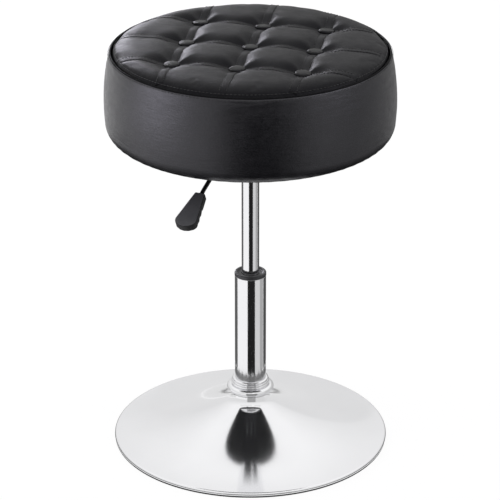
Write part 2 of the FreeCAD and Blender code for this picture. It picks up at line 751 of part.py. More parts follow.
def make_button_ties():
    """Return the twine from each button down to its anchor."""
    return group([rod(TIE_RADIUS, BOARD_BOTTOM, BUTTON_BOTTOM, x, y) for x, y in tuft_places()])


def make_button_anchors():
    """Return the washers sunk in the board's underside that hold the ties."""
    top = BOARD_BOTTOM + ANCHOR_SHEET
    return group([ring(ANCHOR_RADIUS, TIE_RADIUS + FIT, BOARD_BOTTOM, top, x, y) for x, y in tuft_places()])


def bolt_places():
    """Return the centres of the plate's bolts in plan."""
    half = BOLT_SPACING / 2
    turn = math.radians(LEVER_TURN)
    corners = [(x, y) for x in (-half, half) for y in (-half, half)]
    return [(x * math.cos(turn) - y * math.sin(turn), x * math.sin(turn) + y * math.cos(turn)) for x, y in corners]


def bolt_holes(radius, bottom, top):
    """Return the bolts' holes between two heights."""
    return group([rod(radius, bottom, top, x, y) for x, y in bolt_places()])


def make_seat_board():
    """Return the plywood board with its bolt, tie and anchor holes."""
    board = rod(BOARD_RADIUS, BOARD_BOTTOM, BOARD_TOP)
    flange_seat = BOARD_TOP - TEE_FLANGE_SHEET
    board = board.cut(bolt_holes(TEE_BARREL_RADIUS + FIT, BOARD_BOTTOM - CLEAR, BOARD_TOP + CLEAR))
    board = board.cut(bolt_holes(TEE_FLANGE_RADIUS + STOP_GAP, flange_seat, BOARD_TOP + CLEAR))
    seats = [
        rod(ANCHOR_RADIUS + FIT, BOARD_BOTTOM - CLEAR, BOARD_BOTTOM + ANCHOR_SHEET, x, y) for x, y in tuft_places()]
    return board.cut(group(seats)).cut(tie_holes(BOARD_BOTTOM, BOARD_TOP))


def make_dust_cover():
    """Return the fabric disc under the board, stepped down over the turned-under leather."""
    ramp_in = TURN_UNDER_RADIUS - DUST_RAMP - STOP_GAP
    ramp_out = TURN_UNDER_RADIUS - STOP_GAP
    rim = TURN_UNDER_RADIUS + DUST_LAP
    cover = lathe(
        (0, BOARD_BOTTOM), (ramp_in, BOARD_BOTTOM), (ramp_out, SEAT_UNDERSIDE), (rim, SEAT_UNDERSIDE),
        (rim, SEAT_UNDERSIDE - DUST_SHEET), (ramp_out, SEAT_UNDERSIDE - DUST_SHEET),
        (ramp_in, BOARD_BOTTOM - DUST_SHEET), (0, BOARD_BOTTOM - DUST_SHEET))
    return cover.cut(bolt_holes(BOLT_RADIUS + CLEAR, PLATE_TOP - CLEAR, BOARD_BOTTOM + CLEAR))


def make_staples():
    """Return the ring of staples that hold the dust cover and the leather to the board."""
    reach = TURN_UNDER_RADIUS + STAPLE_INSET
    crown_top = SEAT_UNDERSIDE - DUST_SHEET
    crown_bottom = crown_top - STAPLE_WIRE
    half = STAPLE_CROWN / 2
    wire = STAPLE_WIRE
    crown = Part.makeBox(STAPLE_CROWN, wire, wire, FreeCAD.Vector(-half, reach, crown_bottom))
    left = Part.makeBox(wire, wire, STAPLE_LEG, FreeCAD.Vector(-half, reach, crown_bottom))
    right = Part.makeBox(wire, wire, STAPLE_LEG, FreeCAD.Vector(half - wire, reach, crown_bottom))
    staple = crown.fuse([left, right]).removeSplitter()
    return group([spun(staple, 360 * index / STAPLE_COUNT) for index in range(STAPLE_COUNT)])


# Seat plate and fasteners


def make_seat_plate():
    """Return the square steel plate bolted under the board."""
    half = PLATE_SIZE / 2
    plate = Part.makeBox(PLATE_SIZE, PLATE_SIZE, PLATE_SHEET, FreeCAD.Vector(-half, -half, PLATE_BOTTOM))
    upright = [edge for edge in plate.Edges if abs(edge.tangentAt(edge.FirstParameter).z) > 0.9]
    plate = spun(plate.makeFillet(PLATE_ROUND, upright), LEVER_TURN)
    return plate.cut(bolt_holes(BOLT_RADIUS + CLEAR, PLATE_BOTTOM - CLEAR, PLATE_TOP + CLEAR))


def make_plate_bolts():
    """Return the hexagon bolts, from below."""
    washer_bottom = PLATE_BOTTOM - WASHER_SHEET
    head = hexagon(BOLT_HEAD_ACROSS, washer_bottom - BOLT_HEAD_HEIGHT, washer_bottom)
    bolt = head.fuse(rod(BOLT_RADIUS, washer_bottom, BOARD_TOP - BOLT_SPARE)).removeSplitter()
    return group([moved(bolt, x, y) for x, y in bolt_places()])


def make_plate_washers():
    """Return the washers under the bolt heads."""
    bottom = PLATE_BOTTOM - WASHER_SHEET
    return group([ring(WASHER_RADIUS, BOLT_RADIUS + CLEAR, bottom, PLATE_BOTTOM, x, y) for x, y in bolt_places()])


def make_tee_nuts():
    """Return the tee nuts let into the board's top."""
    seat = BOARD_TOP - TEE_FLANGE_SHEET
    bore = BOLT_RADIUS + FIT
    barrel = ring(TEE_BARREL_RADIUS, bore, seat - TEE_BARREL, seat)
    nut = barrel.fuse(ring(TEE_FLANGE_RADIUS, bore, seat, BOARD_TOP)).removeSplitter()
    return group([moved(nut, x, y) for x, y in bolt_places()])


def make_plate_socket():
    """Return the tapered socket that the cylinder's top is pressed into."""
    low = cylinder_side(PLATE_SOCKET_BOTTOM) + FIT
    high = cylinder_side(PLATE_SOCKET_TOP) + FIT
    outer = PLATE_SOCKET_RADIUS
    return lathe(
        (low, PLATE_SOCKET_BOTTOM), (outer, PLATE_SOCKET_BOTTOM), (outer, PLATE_SOCKET_TOP), (high, PLATE_SOCKET_TOP))


def make_lever_bracket():
    """Return the channel welded under the plate, with holes for the socket and the two cross pins."""
    width = BRACKET_INNER + 2 * BRACKET_SHEET
    front = PIVOT_REACH + BRACKET_FRONT
    length = front + BRACKET_BACK
    corner = FreeCAD.Vector(-width / 2, -front, WEB_BOTTOM)
    channel_block = Part.makeBox(width, length, PLATE_BOTTOM - WEB_BOTTOM, corner)
    hollow_corner = FreeCAD.Vector(-BRACKET_INNER / 2, -front - CLEAR, WEB_TOP)
    hollow = Part.makeBox(BRACKET_INNER, length + 2 * CLEAR, PLATE_BOTTOM - WEB_TOP + CLEAR, hollow_corner)
    bracket = channel_block.cut(hollow)
    bracket = bracket.cut(rod(PLATE_SOCKET_RADIUS + FIT, WEB_BOTTOM - CLEAR, WEB_TOP + CLEAR))
    bracket = bracket.cut(cross_pin(PIVOT_RADIUS + FIT, width, PIVOT_REACH, PIVOT_HEIGHT))
    return spun(bracket.cut(cross_pin(STOP_RADIUS + FIT, width, STOP_REACH, stop_height())), LEVER_TURN)


def stop_height():
    """Return the height of the stop pin, just above the lever."""
    return LEVER_HEIGHT + LEVER_RADIUS + STOP_GAP + STOP_RADIUS


def rivet(radius, reach, height):
    """Return a headed cross pin that spans the bracket."""
    half = BRACKET_INNER / 2 + BRACKET_SHEET
    pin = cross_pin(radius, half + PIVOT_HEAD, reach, height)
    heads = cross_pin(PIVOT_HEAD_RADIUS, half + PIVOT_HEAD, reach, height)
    heads = heads.cut(cross_pin(PIVOT_HEAD_RADIUS + CLEAR, half, reach, height))
    return spun(pin.fuse(heads.Solids).removeSplitter(), LEVER_TURN)


# Lever


def lever_points():
    """Return the lever rod's corners, in front of the axis."""
    bend = math.radians(LEVER_BEND)
    knee = math.radians(LEVER_KNEE)
    knee_height = LEVER_HEIGHT - (LEVER_KNEE_AT - LEVER_BEND_AT) * math.tan(bend)
    inside = GRIP_AWAY + GRIP_HOLE
    return [
        FreeCAD.Vector(0, LEVER_INNER, LEVER_HEIGHT),
        FreeCAD.Vector(0, -LEVER_BEND_AT, LEVER_HEIGHT),
        FreeCAD.Vector(0, -LEVER_KNEE_AT, knee_height),
        FreeCAD.Vector(0, -LEVER_KNEE_AT - inside * math.cos(knee), knee_height - inside * math.sin(knee)),
    ]


def bent_path(points, radius):
    """Return a path of straight runs joined by tangent arcs."""
    edges = []
    start = points[0]
    for before, corner, after in zip(points, points[1:], points[2:]):
        inward = (before - corner).normalize()
        outward = (after - corner).normalize()
        half_turn = (math.pi - inward.getAngle(outward)) / 2
        trim = radius * math.tan(half_turn)
        first = corner + inward * trim
        last = corner + outward * trim
        centre = corner + (inward + outward).normalize() * (radius / math.cos(half_turn))
        edges.append(line(start, first))
        edges.append(arc(first, round_middle(centre, first, last), last))
        start = last
    edges.append(line(start, points[-1]))
    return Part.Wire(edges)


def make_lever_rod():
    """Return the bent rod with the pivot sleeve welded on top of it."""
    points = lever_points()
    section = Part.Wire(Part.makeCircle(LEVER_RADIUS, points[0], FreeCAD.Vector(0, -1, 0)))
    bar = bent_path(points, LEVER_BEND_ROUND).makePipeShell([section], True, False)
    half = BRACKET_INNER / 2 - SLEEVE_END_GAP
    sleeve = cross_pin(SLEEVE_RADIUS, half, PIVOT_REACH, PIVOT_HEIGHT)
    bore = cross_pin(PIVOT_RADIUS + RUN, half + CLEAR, PIVOT_REACH, PIVOT_HEIGHT)
    return spun(bar.fuse(sleeve).cut(bore).removeSplitter(), LEVER_TURN)


def grip_outline():
    """Return the grip's outline in plan: a narrow straight end, widening to a round end."""
    narrow = GRIP_NARROW / 2
    wide = GRIP_WIDE / 2
    corners = [
        FreeCAD.Vector(-wide, -GRIP_SHOULDER, 0), FreeCAD.Vector(-narrow, 0, 0),
        FreeCAD.Vector(narrow, 0, 0), FreeCAD.Vector(wide, -GRIP_SHOULDER, 0)]
    end = arc(corners[3], FreeCAD.Vector(0, -GRIP_LENGTH, 0), corners[0])
    return Part.Wire(chain(corners) + [end])


def make_lever_grip():
    """Return the moulded grip: a flat top, rounded edges and finger scallops below."""
    grip = Part.Face(grip_outline()).extrude(FreeCAD.Vector(0, 0, -GRIP_THICK))
    upright = [edge for edge in grip.Edges if edge.BoundBox.ZLength > GRIP_THICK / 2]
    near = [edge for edge in upright if edge.BoundBox.YMax > -GRIP_SHOULDER / 2]
    grip = grip.makeFillet(GRIP_CORNER, near)
    upright = [edge for edge in grip.Edges if edge.BoundBox.ZLength > GRIP_THICK / 2]
    far = [edge for edge in upright if abs(edge.BoundBox.YMax + GRIP_SHOULDER) < CLEAR]
    grip = grip.makeFillet(GRIP_END_ROUND, far)
    rims = [edge for edge in grip.Edges if edge.BoundBox.ZLength < GRIP_ROUND]
    grip = grip.makeFillet(GRIP_ROUND, rims)
    for index in range(SCALLOP_COUNT):
        reach = SCALLOP_FIRST + SCALLOP_PITCH * index
        grip = grip.cut(cross_pin(SCALLOP_RADIUS, GRIP_WIDE, reach, SCALLOP_DEPTH - GRIP_THICK - SCALLOP_RADIUS))
    hole_start = FreeCAD.Vector(0, GRIP_CORNER, -GRIP_AXIS_DEPTH)
    hole = Part.makeCylinder(
        LEVER_RADIUS + FIT, GRIP_HOLE + GRIP_CORNER + FIT, hole_start, FreeCAD.Vector(0, -1, 0))
    grip = grip.cut(hole)
    knee = math.radians(LEVER_KNEE)
    corner = lever_points()[2]
    grip.translate(FreeCAD.Vector(0, 0, GRIP_AXIS_DEPTH))
    grip.rotate(ORIGIN, FreeCAD.Vector(1, 0, 0), LEVER_KNEE)
    away = FreeCAD.Vector(0, -GRIP_AWAY * math.cos(knee), -GRIP_AWAY * math.sin(knee))
    grip.translate(corner + away)
    return spun(grip, LEVER_TURN)


os.makedirs("parts", exist_ok=True)

save("base_shell", make_base_shell())
save("base_edge_ring", make_base_edge_ring())
save("base_socket", make_base_socket())
save("base_stiffener", make_base_stiffener())
save("foot_trim_ring", make_foot_trim_ring())
save("column_tube", make_column_tube())
save("column_collar", make_column_collar())
save("guide_bush", make_guide_bush())
save("column_end_plate", make_column_end_plate())
save("bearing_lower_race", ring(RACE_RADIUS, ROD_TIP_RADIUS + CLEAR, END_PLATE_TOP, LOWER_RACE_TOP))
save("bearing_cage", make_bearing_cage())
save("bearing_balls", make_bearing_balls())

save("piston_rod", make_piston_rod())
save("bearing_upper_race", ring(RACE_RADIUS, ROD_TIP_RADIUS + FIT, UPPER_RACE_BOTTOM, ROD_SHOULDER))
save("rod_clip", make_rod_clip())
save("bump_stop", ring(ROD_RADIUS + BUMP_WALL, ROD_RADIUS + FIT, ROD_SHOULDER, BUMP_TOP))
save("piston", ring(CYLINDER_BORE - RUN, ROD_RADIUS + FIT, PISTON_BOTTOM, PISTON_TOP))
save("piston_nut", make_piston_nut())

save("gas_cylinder", make_gas_cylinder())
save("cylinder_guide", ring(CYLINDER_BORE - FIT, ROD_RADIUS + RUN, CYLINDER_BOTTOM, SEAL_BOTTOM))
save("rod_seal", ring(CYLINDER_BORE - FIT, ROD_RADIUS + RUN, SEAL_BOTTOM, SEAL_TOP))
save("valve_body", make_valve_body())
save("valve_pin", make_valve_pin())

save("seat_board", make_seat_board())
save("seat_foam", make_seat_foam())
save("side_band", make_side_band())
save("top_panel", make_top_panel())
save("edge_welt", make_edge_welt())
save("tuft_buttons", make_tuft_buttons())
save("button_ties", make_button_ties())
save("button_anchors", make_button_anchors())
save("dust_cover", make_dust_cover())
save("staples", make_staples())

save("seat_plate", make_seat_plate())
save("plate_bolts", make_plate_bolts())
save("plate_washers", make_plate_washers())
save("tee_nuts", make_tee_nuts())
save("plate_socket", make_plate_socket())
save("lever_bracket", make_lever_bracket())
save("lever_pivot_pin", rivet(PIVOT_RADIUS, PIVOT_REACH, PIVOT_HEIGHT))
save("lever_stop_pin", rivet(STOP_RADIUS, STOP_REACH, stop_height()))

save("lever_rod", make_lever_rod())
save("lever_grip", make_lever_grip())
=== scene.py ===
"""Dressed scene of a round, tufted vanity stool on a chromed gas-lift column."""
import json
import logging
import math
from dataclasses import dataclass
from enum import Enum
from typing import Iterable, Sequence

import bmesh
import bpy
from mathutils import Matrix, Vector, noise

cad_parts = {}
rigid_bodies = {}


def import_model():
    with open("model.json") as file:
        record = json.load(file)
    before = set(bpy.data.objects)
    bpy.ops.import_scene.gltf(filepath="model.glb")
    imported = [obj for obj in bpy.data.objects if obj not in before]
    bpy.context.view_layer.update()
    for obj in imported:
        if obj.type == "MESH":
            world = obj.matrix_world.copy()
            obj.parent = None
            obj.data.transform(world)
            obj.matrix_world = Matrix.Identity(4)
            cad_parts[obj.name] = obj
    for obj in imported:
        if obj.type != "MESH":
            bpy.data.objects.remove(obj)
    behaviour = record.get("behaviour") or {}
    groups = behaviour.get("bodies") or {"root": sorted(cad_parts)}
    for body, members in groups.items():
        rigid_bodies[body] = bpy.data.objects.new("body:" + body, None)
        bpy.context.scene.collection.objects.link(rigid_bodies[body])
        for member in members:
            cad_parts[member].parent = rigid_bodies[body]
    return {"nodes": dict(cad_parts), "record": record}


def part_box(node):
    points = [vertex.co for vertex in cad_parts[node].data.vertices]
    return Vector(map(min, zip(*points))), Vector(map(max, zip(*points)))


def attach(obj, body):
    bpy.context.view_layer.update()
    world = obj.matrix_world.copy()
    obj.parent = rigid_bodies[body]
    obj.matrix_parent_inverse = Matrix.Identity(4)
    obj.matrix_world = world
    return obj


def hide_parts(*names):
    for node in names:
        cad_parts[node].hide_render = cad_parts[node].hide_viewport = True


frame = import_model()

LOG = logging.getLogger("stool")
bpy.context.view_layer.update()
MM = 0.001
TINY = 1e-6
FULL_TURN = 2 * math.pi
CORNER_STEPS = 6
SEAT_BODY = "seat"
BASE_BODY = "base"
LEVER_BODY = "lever"

# Heights in metres that tell which part of the stool a mirrored ray comes from.
BASE_HEIGHTS = (0.07, 0.09)
SEAT_HEIGHTS = (0.44, 0.46)
LEATHER_HEIGHT = 0.466
# Near the stool the floor is dim in the leather's reflections, a painted shadow of the stool:
# the distances in metres between which it clears, and the share of its light that is missing.
SHADOW_DISTANCES = (0.35, 1.1)
SHADOW_SHARE = 0.97

# Places in the noise that keep the patterns of the sewn leather and the cloth apart.
RIM_SEED = 3.0
SLACK_SEED = 5.0
FOLD_SEEDS = (7.0, 3.1)
COVER_SEEDS = (11.0, 5.0)
GATHER_SEED = 1.0
WELT_SEED = 2.0
SAG_SEED = 0.0

# The pebbled grain: the sway and the pores against its cells, and the width of a crease.
SWAY_SCALE = 0.45
SWAY_SIZE = 1.1
CREASE_WIDTH = 0.22
PORE_SCALE = 3.1
PORE_HEIGHT = 0.35
# The part of a noise's range that an effect stretches over its own.
GLOSS_BAND = (0.32, 0.68)
SPECKLE_BAND = (0.3, 0.7)
TONE_BAND = (0.35, 0.65)

Point = tuple[float, float]
Place = tuple[float, float, float]
Colour = tuple[float, float, float]
Shape = bmesh.types.BMesh
Part = bmesh.types.BMVert | bmesh.types.BMEdge | bmesh.types.BMFace
Node = bpy.types.Node
Socket = bpy.types.NodeSocket
Feed = float | tuple[float, ...] | Socket


class Bench:
    """A node tree under construction."""

    def __init__(self, tree: bpy.types.NodeTree) -> None:
        """Start work on a tree."""
        self.tree = tree

    def feed(self, socket: Socket, value: Feed) -> None:
        """Set an input, or link it where the value is a socket.

        Args:
            socket: The input.
            value: What it gets.
        """
        if isinstance(value, Socket):
            self.tree.links.new(value, socket)
        else:
            socket.default_value = value

    def feed_first(self, node: Node, *values: Feed) -> Socket:
        """Feed a node's first inputs in their order.

        Args:
            node: The node.
            values: Values or sockets for its inputs.

        Returns:
            The node's first output.
        """
        for socket, value in zip(node.inputs, values):
            self.feed(socket, value)
        return node.outputs[0]

    def add(self, kind: str, settings: dict[str, object] | None = None, **inputs: Feed) -> Node:
        """Add a node.

        Args:
            kind: The node's type, without its common prefix.
            settings: Properties to set on the node.
            inputs: Values or sockets by input name, with an underscore for each space.

        Returns:
            The new node.
        """
        node = self.tree.nodes.new("ShaderNode" + kind)
        for key, value in (settings or {}).items():
            setattr(node, key, value)
        for name, value in inputs.items():
            self.feed(node.inputs[name.replace("_", " ")], value)
        return node

    def sum(self, operation: str, first: Feed, second: Feed = 0.0, third: Feed = 0.0) -> Socket:
        """Return the result of a math operation on up to three values."""
        return self.feed_first(self.add("Math", {"operation": operation}), first, second, third)

    def span(self, value: Feed, low: float, high: float, to_low: Feed = 0.0, to_high: Feed = 1.0) -> Socket:
        """Return a value carried from one range to another, held inside it."""
        node = self.add(
            "MapRange", None, Value=value, From_Min=low, From_Max=high, To_Min=to_low, To_Max=to_high)
        return node.outputs["Result"]

    def blend(self, share: Feed, first: Feed, second: Feed) -> Socket:
        """Mix two colours.

        Args:
            share: The second colour's share.
            first: The first colour.
            second: The second colour.

        Returns:
            The mixed colour.
        """
        node = self.add("Mix", {"data_type": "RGBA"})
        self.feed(node.inputs[0], share)
        self.feed(node.inputs[6], first)
        self.feed(node.inputs[7], second)
        return node.outputs[2]

    def cover(self, share: Feed, first: Socket, second: Socket) -> Socket:
        """Return the mix of two shaders."""
        return self.feed_first(self.add("MixShader"), share, first, second)

    def shift(self, vector: Feed, other: Feed, operation: str = "ADD") -> Socket:
        """Return the result of a vector operation."""
        return self.feed_first(self.add("VectorMath", {"operation": operation}), vector, other)

    def cloud(self, place: Feed, scale: Feed, detail: float = 2.0, roughness: float = 0.5) -> Node:
        """Return a new noise texture."""
        return self.add("TexNoise", None, Vector=place, Scale=scale, Detail=detail, Roughness=roughness)

    def depth(self, vector: Feed) -> Socket:
        """Return a vector's Z."""
        return self.add("SeparateXYZ", None, Vector=vector).outputs["Z"]

    def ray_start(self) -> Socket:
        """Work out the height that the ray on a surface comes from.

        Returns:
            The height in metres.
        """
        spot = self.add("NewGeometry").outputs
        rise = self.sum("MULTIPLY", self.depth(spot["Incoming"]), self.add("LightPath").outputs["Ray Length"])
        return self.sum("ADD", rise, self.depth(spot["Position"]))

    def painted_shadow_share(self) -> Socket:
        """Work out how bright a surface shows in the leather, with the stool's painted shadow near it.

        Returns:
            A share that is low close to the stool for rays from the leather, and full for all others.
        """
        mirrored = self.add("LightPath").outputs["Is Glossy Ray"]
        high = self.sum("GREATER_THAN", self.ray_start(), LEATHER_HEIGHT)
        from_seat = self.sum("MULTIPLY", high, mirrored)
        place = self.add("NewGeometry").outputs["Position"]
        away = self.add("VectorMath", {"operation": "LENGTH"}, Vector=place).outputs["Value"]
        near = self.span(away, *SHADOW_DISTANCES, SHADOW_SHARE, 0.0)
        return self.sum("SUBTRACT", 1.0, self.sum("MULTIPLY", from_seat, near))

    def surface(self, shader: Socket) -> None:
        """Put a shader out as the material's surface."""
        self.feed(self.tree.nodes["Material Output"].inputs["Surface"], shader)


class Effect(Enum):
    """The effects that several finishes share, each a node group."""

    PEBBLE = "pebble_grain"
    PATCHY = "patchy_gloss"
    SPECKLE = "fine_speckle"
    DRIFT = "tone_drift"


EFFECT_SOCKETS: dict[Effect, tuple[dict[str, str], dict[str, str]]] = {
    Effect.PEBBLE: ({"Vector": "Vector", "Scale": "Float"}, {"Height": "Float", "Crease": "Float"}),
    Effect.PATCHY: (
        {"Vector": "Vector", "Scale": "Float", "Glossy": "Float", "Dull": "Float"}, {"Roughness": "Float"}),
    Effect.SPECKLE: ({"Vector": "Vector", "Scale": "Float"}, {"Height": "Float"}),
    Effect.DRIFT: (
        {"Vector": "Vector", "Scale": "Float", "First": "Color", "Second": "Color"}, {"Color": "Color"}),
}


class EffectShelf:
    """Builds each shared effect once and hands it out."""

    def __init__(self) -> None:
        """Start with an empty shelf."""
        self.made: dict[Effect, bpy.types.NodeTree] = {}

    def get(self, effect: Effect) -> bpy.types.NodeTree:
        """Hand out an effect, building it at its first use.

        Args:
            effect: The effect.

        Returns:
            Its node group.
        """
        if effect not in self.made:
            self.made[effect] = self.build(effect)
        return self.made[effect]

    def build(self, effect: Effect) -> bpy.types.NodeTree:
        """Build an effect's sockets and its inner nodes.

        Args:
            effect: The effect.

        Returns:
            The new node group.
        """
        tree = bpy.data.node_groups.new(effect.value, "ShaderNodeTree")
        for way, sockets in zip(("INPUT", "OUTPUT"), EFFECT_SOCKETS[effect]):
            for name, kind in sockets.items():
                tree.interface.new_socket(name=name, in_out=way, socket_type="NodeSocket" + kind)
        bench = Bench(tree)
        source = tree.nodes.new("NodeGroupInput").outputs
        sink = tree.nodes.new("NodeGroupOutput").inputs
        inner = {
            Effect.PEBBLE: self.pebble, Effect.PATCHY: self.patchy,
            Effect.SPECKLE: self.speckle, Effect.DRIFT: self.drift,
        }
        for name, socket in inner[effect](bench, source).items():
            bench.feed(sink[name], socket)
        return tree

    def pebble(self, bench: Bench, source: bpy.types.NodeOutputs) -> dict[str, Socket]:
        """Wire irregular rounded cells with creases between them and pores on top.

        Args:
            bench: The group's bench.
            source: The group's inputs.

        Returns:
            The group's outputs by name.
        """
        scale = source["Scale"]
        stretch = bench.cloud(source["Vector"], bench.sum("MULTIPLY", scale, SWAY_SCALE))
        drift = bench.shift(stretch.outputs["Color"], (0.5, 0.5, 0.5), "SUBTRACT")
        sway = bench.add("VectorMath", {"operation": "SCALE"}, Scale=bench.sum("DIVIDE", SWAY_SIZE, scale))
        place = bench.shift(source["Vector"], bench.feed_first(sway, drift))
        cells = bench.add("TexVoronoi", {"feature": "DISTANCE_TO_EDGE"}, Vector=place, Scale=scale)
        crease = bench.span(cells.outputs["Distance"], 0.0, CREASE_WIDTH)
        pores = bench.cloud(place, bench.sum("MULTIPLY", scale, PORE_SCALE), detail=3.0)
        height = bench.sum("MULTIPLY_ADD", pores.outputs["Fac"], PORE_HEIGHT, crease)
        return {"Height": height, "Crease": crease}

    def patchy(self, bench: Bench, source: bpy.types.NodeOutputs) -> dict[str, Socket]:
        """Wire a gloss that drifts between two roughness values."""
        cloud = bench.cloud(source["Vector"], source["Scale"], detail=4.0)
        return {"Roughness": bench.span(cloud.outputs["Fac"], *GLOSS_BAND, source["Glossy"], source["Dull"])}

    def speckle(self, bench: Bench, source: bpy.types.NodeOutputs) -> dict[str, Socket]:
        """Wire the fine bumps of moulded or sprayed surfaces."""
        grit = bench.cloud(source["Vector"], source["Scale"], detail=5.0, roughness=0.6)
        return {"Height": bench.span(grit.outputs["Fac"], *SPECKLE_BAND)}

    def drift(self, bench: Bench, source: bpy.types.NodeOutputs) -> dict[str, Socket]:
        """Wire a tone that drifts between two colours.

        Args:
            bench: The group's bench.
            source: The group's inputs.

        Returns:
            The group's outputs by name.
        """
        cloud = bench.cloud(source["Vector"], source["Scale"], detail=3.0)
        share = bench.span(cloud.outputs["Fac"], *TONE_BAND)
        return {"Color": bench.blend(share, source["First"], source["Second"])}


EFFECTS = EffectShelf()


@dataclass(frozen=True)
class Finish:
    """A finish: what every material has in common. Depths are in metres."""

    name: str
    first: Colour
    second: Colour
    glossy: float
    dull: float
    drift_scale: float = 40.0
    gloss_fineness: float = 1.7

    def material(self) -> bpy.types.Material:
        """Make the finish's material at its first use.

        Returns:
            The material.
        """
        title = f"{self.name}_finish"
        found = bpy.data.materials.get(title)
        if found:
            return found
        made = bpy.data.materials.new(title)
        made.use_nodes = True
        bench = Bench(made.node_tree)
        shader = made.node_tree.nodes["Principled BSDF"]
        place = bench.add("TexCoord").outputs["Object"]
        tone = self.group(
            bench, Effect.DRIFT, Vector=place, Scale=self.drift_scale, First=(*self.first, 1.0),
            Second=(*self.second, 1.0))
        bench.feed(shader.inputs["Base Color"], tone.outputs["Color"])
        gloss = self.group(
            bench, Effect.PATCHY, Vector=place, Scale=self.drift_scale * self.gloss_fineness,
            Glossy=self.glossy, Dull=self.dull)
        bench.feed(shader.inputs["Roughness"], gloss.outputs["Roughness"])
        self.dress(bench, shader, place)
        return made

    def group(self, bench: Bench, effect: Effect, **inputs: Feed) -> Node:
        """Place a shared effect in a material.

        Args:
            bench: The material's bench.
            effect: The effect.
            inputs: The effect's own values here.

        Returns:
            The new node.
        """
        node = bench.tree.nodes.new("ShaderNodeGroup")
        node.node_tree = EFFECTS.get(effect)
        for name, value in inputs.items():
            bench.feed(node.inputs[name], value)
        return node

    def dress(self, bench: Bench, shader: Node, place: Socket) -> None:
        """Add what is special to one kind of finish."""

    def darken(self, bench: Bench, shader: Node, mask: Socket, share: float) -> None:
        """Mix a darker tone into the base colour where a mask is low.

        Leather and cloth use it for painted shade, plywood for the own tone of its grain.

        Args:
            bench: The material's bench.
            shader: The material's shader.
            mask: The mask.
            share: How bright the darker tone is, against the first colour.
        """
        tone = shader.inputs["Base Color"].links[0].from_socket
        deep = tuple(share * part for part in self.first)
        bench.feed(shader.inputs["Base Color"], bench.blend(mask, (*deep, 1.0), tone))

    def bump(self, bench: Bench, shader: Node, height: Feed, strength: float, distance: float) -> None:
        """Link a height to the shader's normal."""
        bump = bench.add("Bump", None, Strength=strength, Distance=distance, Height=height)
        bench.feed(shader.inputs["Normal"], bump.outputs["Normal"])


@dataclass(frozen=True)
class Leather(Finish):
    """Black upholstery leather with a pebbled grain."""

    grain: float = 620.0
    depth: float = 0.00016
    strength: float = 0.35
    gleam: float = 0.5
    stretch: float = 0.9
    stretch_scale: float = 45.0
    stretch_run: Place = (1.0, 1.0, 7.0)
    crease_shade_tone: float = 0.55
    bend: float = 1.45
    sheen: Colour = (0.95, 0.935, 1.0)

    def dress(self, bench: Bench, shader: Node, place: Socket) -> None:
        """Add the pebbled grain, its creases painted darker as shade, and soft stretch lines.

        Args:
            bench: The material's bench.
            shader: The material's shader.
            place: The object's coordinates.
        """
        grain = self.group(bench, Effect.PEBBLE, Vector=place, Scale=self.grain)
        # Painted shade: the grain's creases are darkened in the base colour.
        self.darken(bench, shader, grain.outputs["Crease"], self.crease_shade_tone)
        lines = bench.shift(place, self.stretch_run, "MULTIPLY")
        stretch = bench.cloud(lines, self.stretch_scale, detail=4.0, roughness=0.6)
        height = bench.sum("MULTIPLY_ADD", stretch.outputs["Fac"], self.stretch, grain.outputs["Height"])
        self.bump(bench, shader, height, self.strength, self.depth)
        shader.inputs["Specular IOR Level"].default_value = self.gleam
        shader.inputs["IOR"].default_value = self.bend
        shader.inputs["Specular Tint"].default_value = (*self.sheen, 1.0)


@dataclass(frozen=True)
class Metal(Finish):
    """Bare, plated or polished metal."""

    grit: float = 0.0
    depth: float = 0.00008
    strength: float = 0.2

    def dress(self, bench: Bench, shader: Node, place: Socket) -> None:
        """Make the surface metallic, with a fine grit where it isn't polished.

        Args:
            bench: The material's bench.
            shader: The material's shader.
            place: The object's coordinates.
        """
        shader.inputs["Metallic"].default_value = 1.0
        if self.grit:
            speckle = self.group(bench, Effect.SPECKLE, Vector=place, Scale=self.grit)
            self.bump(bench, shader, speckle.outputs["Height"], self.strength, self.depth)


@dataclass(frozen=True)
class Moulded(Finish):
    """Moulded plastic, rubber, or sprayed paint."""

    grit: float = 1600.0
    depth: float = 0.0001
    strength: float = 0.25

    def dress(self, bench: Bench, shader: Node, place: Socket) -> None:
        """Add the fine texture that the mould or the spray leaves."""
        speckle = self.group(bench, Effect.SPECKLE, Vector=place, Scale=self.grit)
        self.bump(bench, shader, speckle.outputs["Height"], self.strength, self.depth)


@dataclass(frozen=True)
class Woven(Finish):
    """Cloth, thread and other fibrous surfaces."""

    weave: float = 700.0
    depth: float = 0.0002
    strength: float = 0.5
    thread_bands: float = 6.3
    thread_sway: float = 1.5
    fibre_scale: float = 2.6
    fibre_height: float = 0.5
    gap_shade_tone: float = 0.5
    fuzz: float = 0.15
    fuzz_roughness: float = 0.5

    def dress(self, bench: Bench, shader: Node, place: Socket) -> None:
        """Add crossed threads with loose fibres on them, and the gaps between the threads painted darker as
        shade.

        Args:
            bench: The material's bench.
            shader: The material's shader.
            place: The object's coordinates.
        """
        threads = []
        for direction in ("X", "Y"):
            wave = bench.add(
                "TexWave", {"bands_direction": direction}, Vector=place, Scale=self.weave / self.thread_bands,
                Distortion=self.thread_sway, Detail=2.0)
            threads.append(wave.outputs["Fac"])
        crossed = bench.sum("MAXIMUM", *threads)
        fibres = self.group(bench, Effect.SPECKLE, Vector=place, Scale=self.weave * self.fibre_scale)
        height = bench.sum("MULTIPLY_ADD", fibres.outputs["Height"], self.fibre_height, crossed)
        self.bump(bench, shader, height, self.strength, self.depth)
        # Painted shade: the gaps between the threads are darkened in the base colour.
        self.darken(bench, shader, crossed, self.gap_shade_tone)
        shader.inputs["Sheen Weight"].default_value = self.fuzz
        shader.inputs["Sheen Roughness"].default_value = self.fuzz_roughness


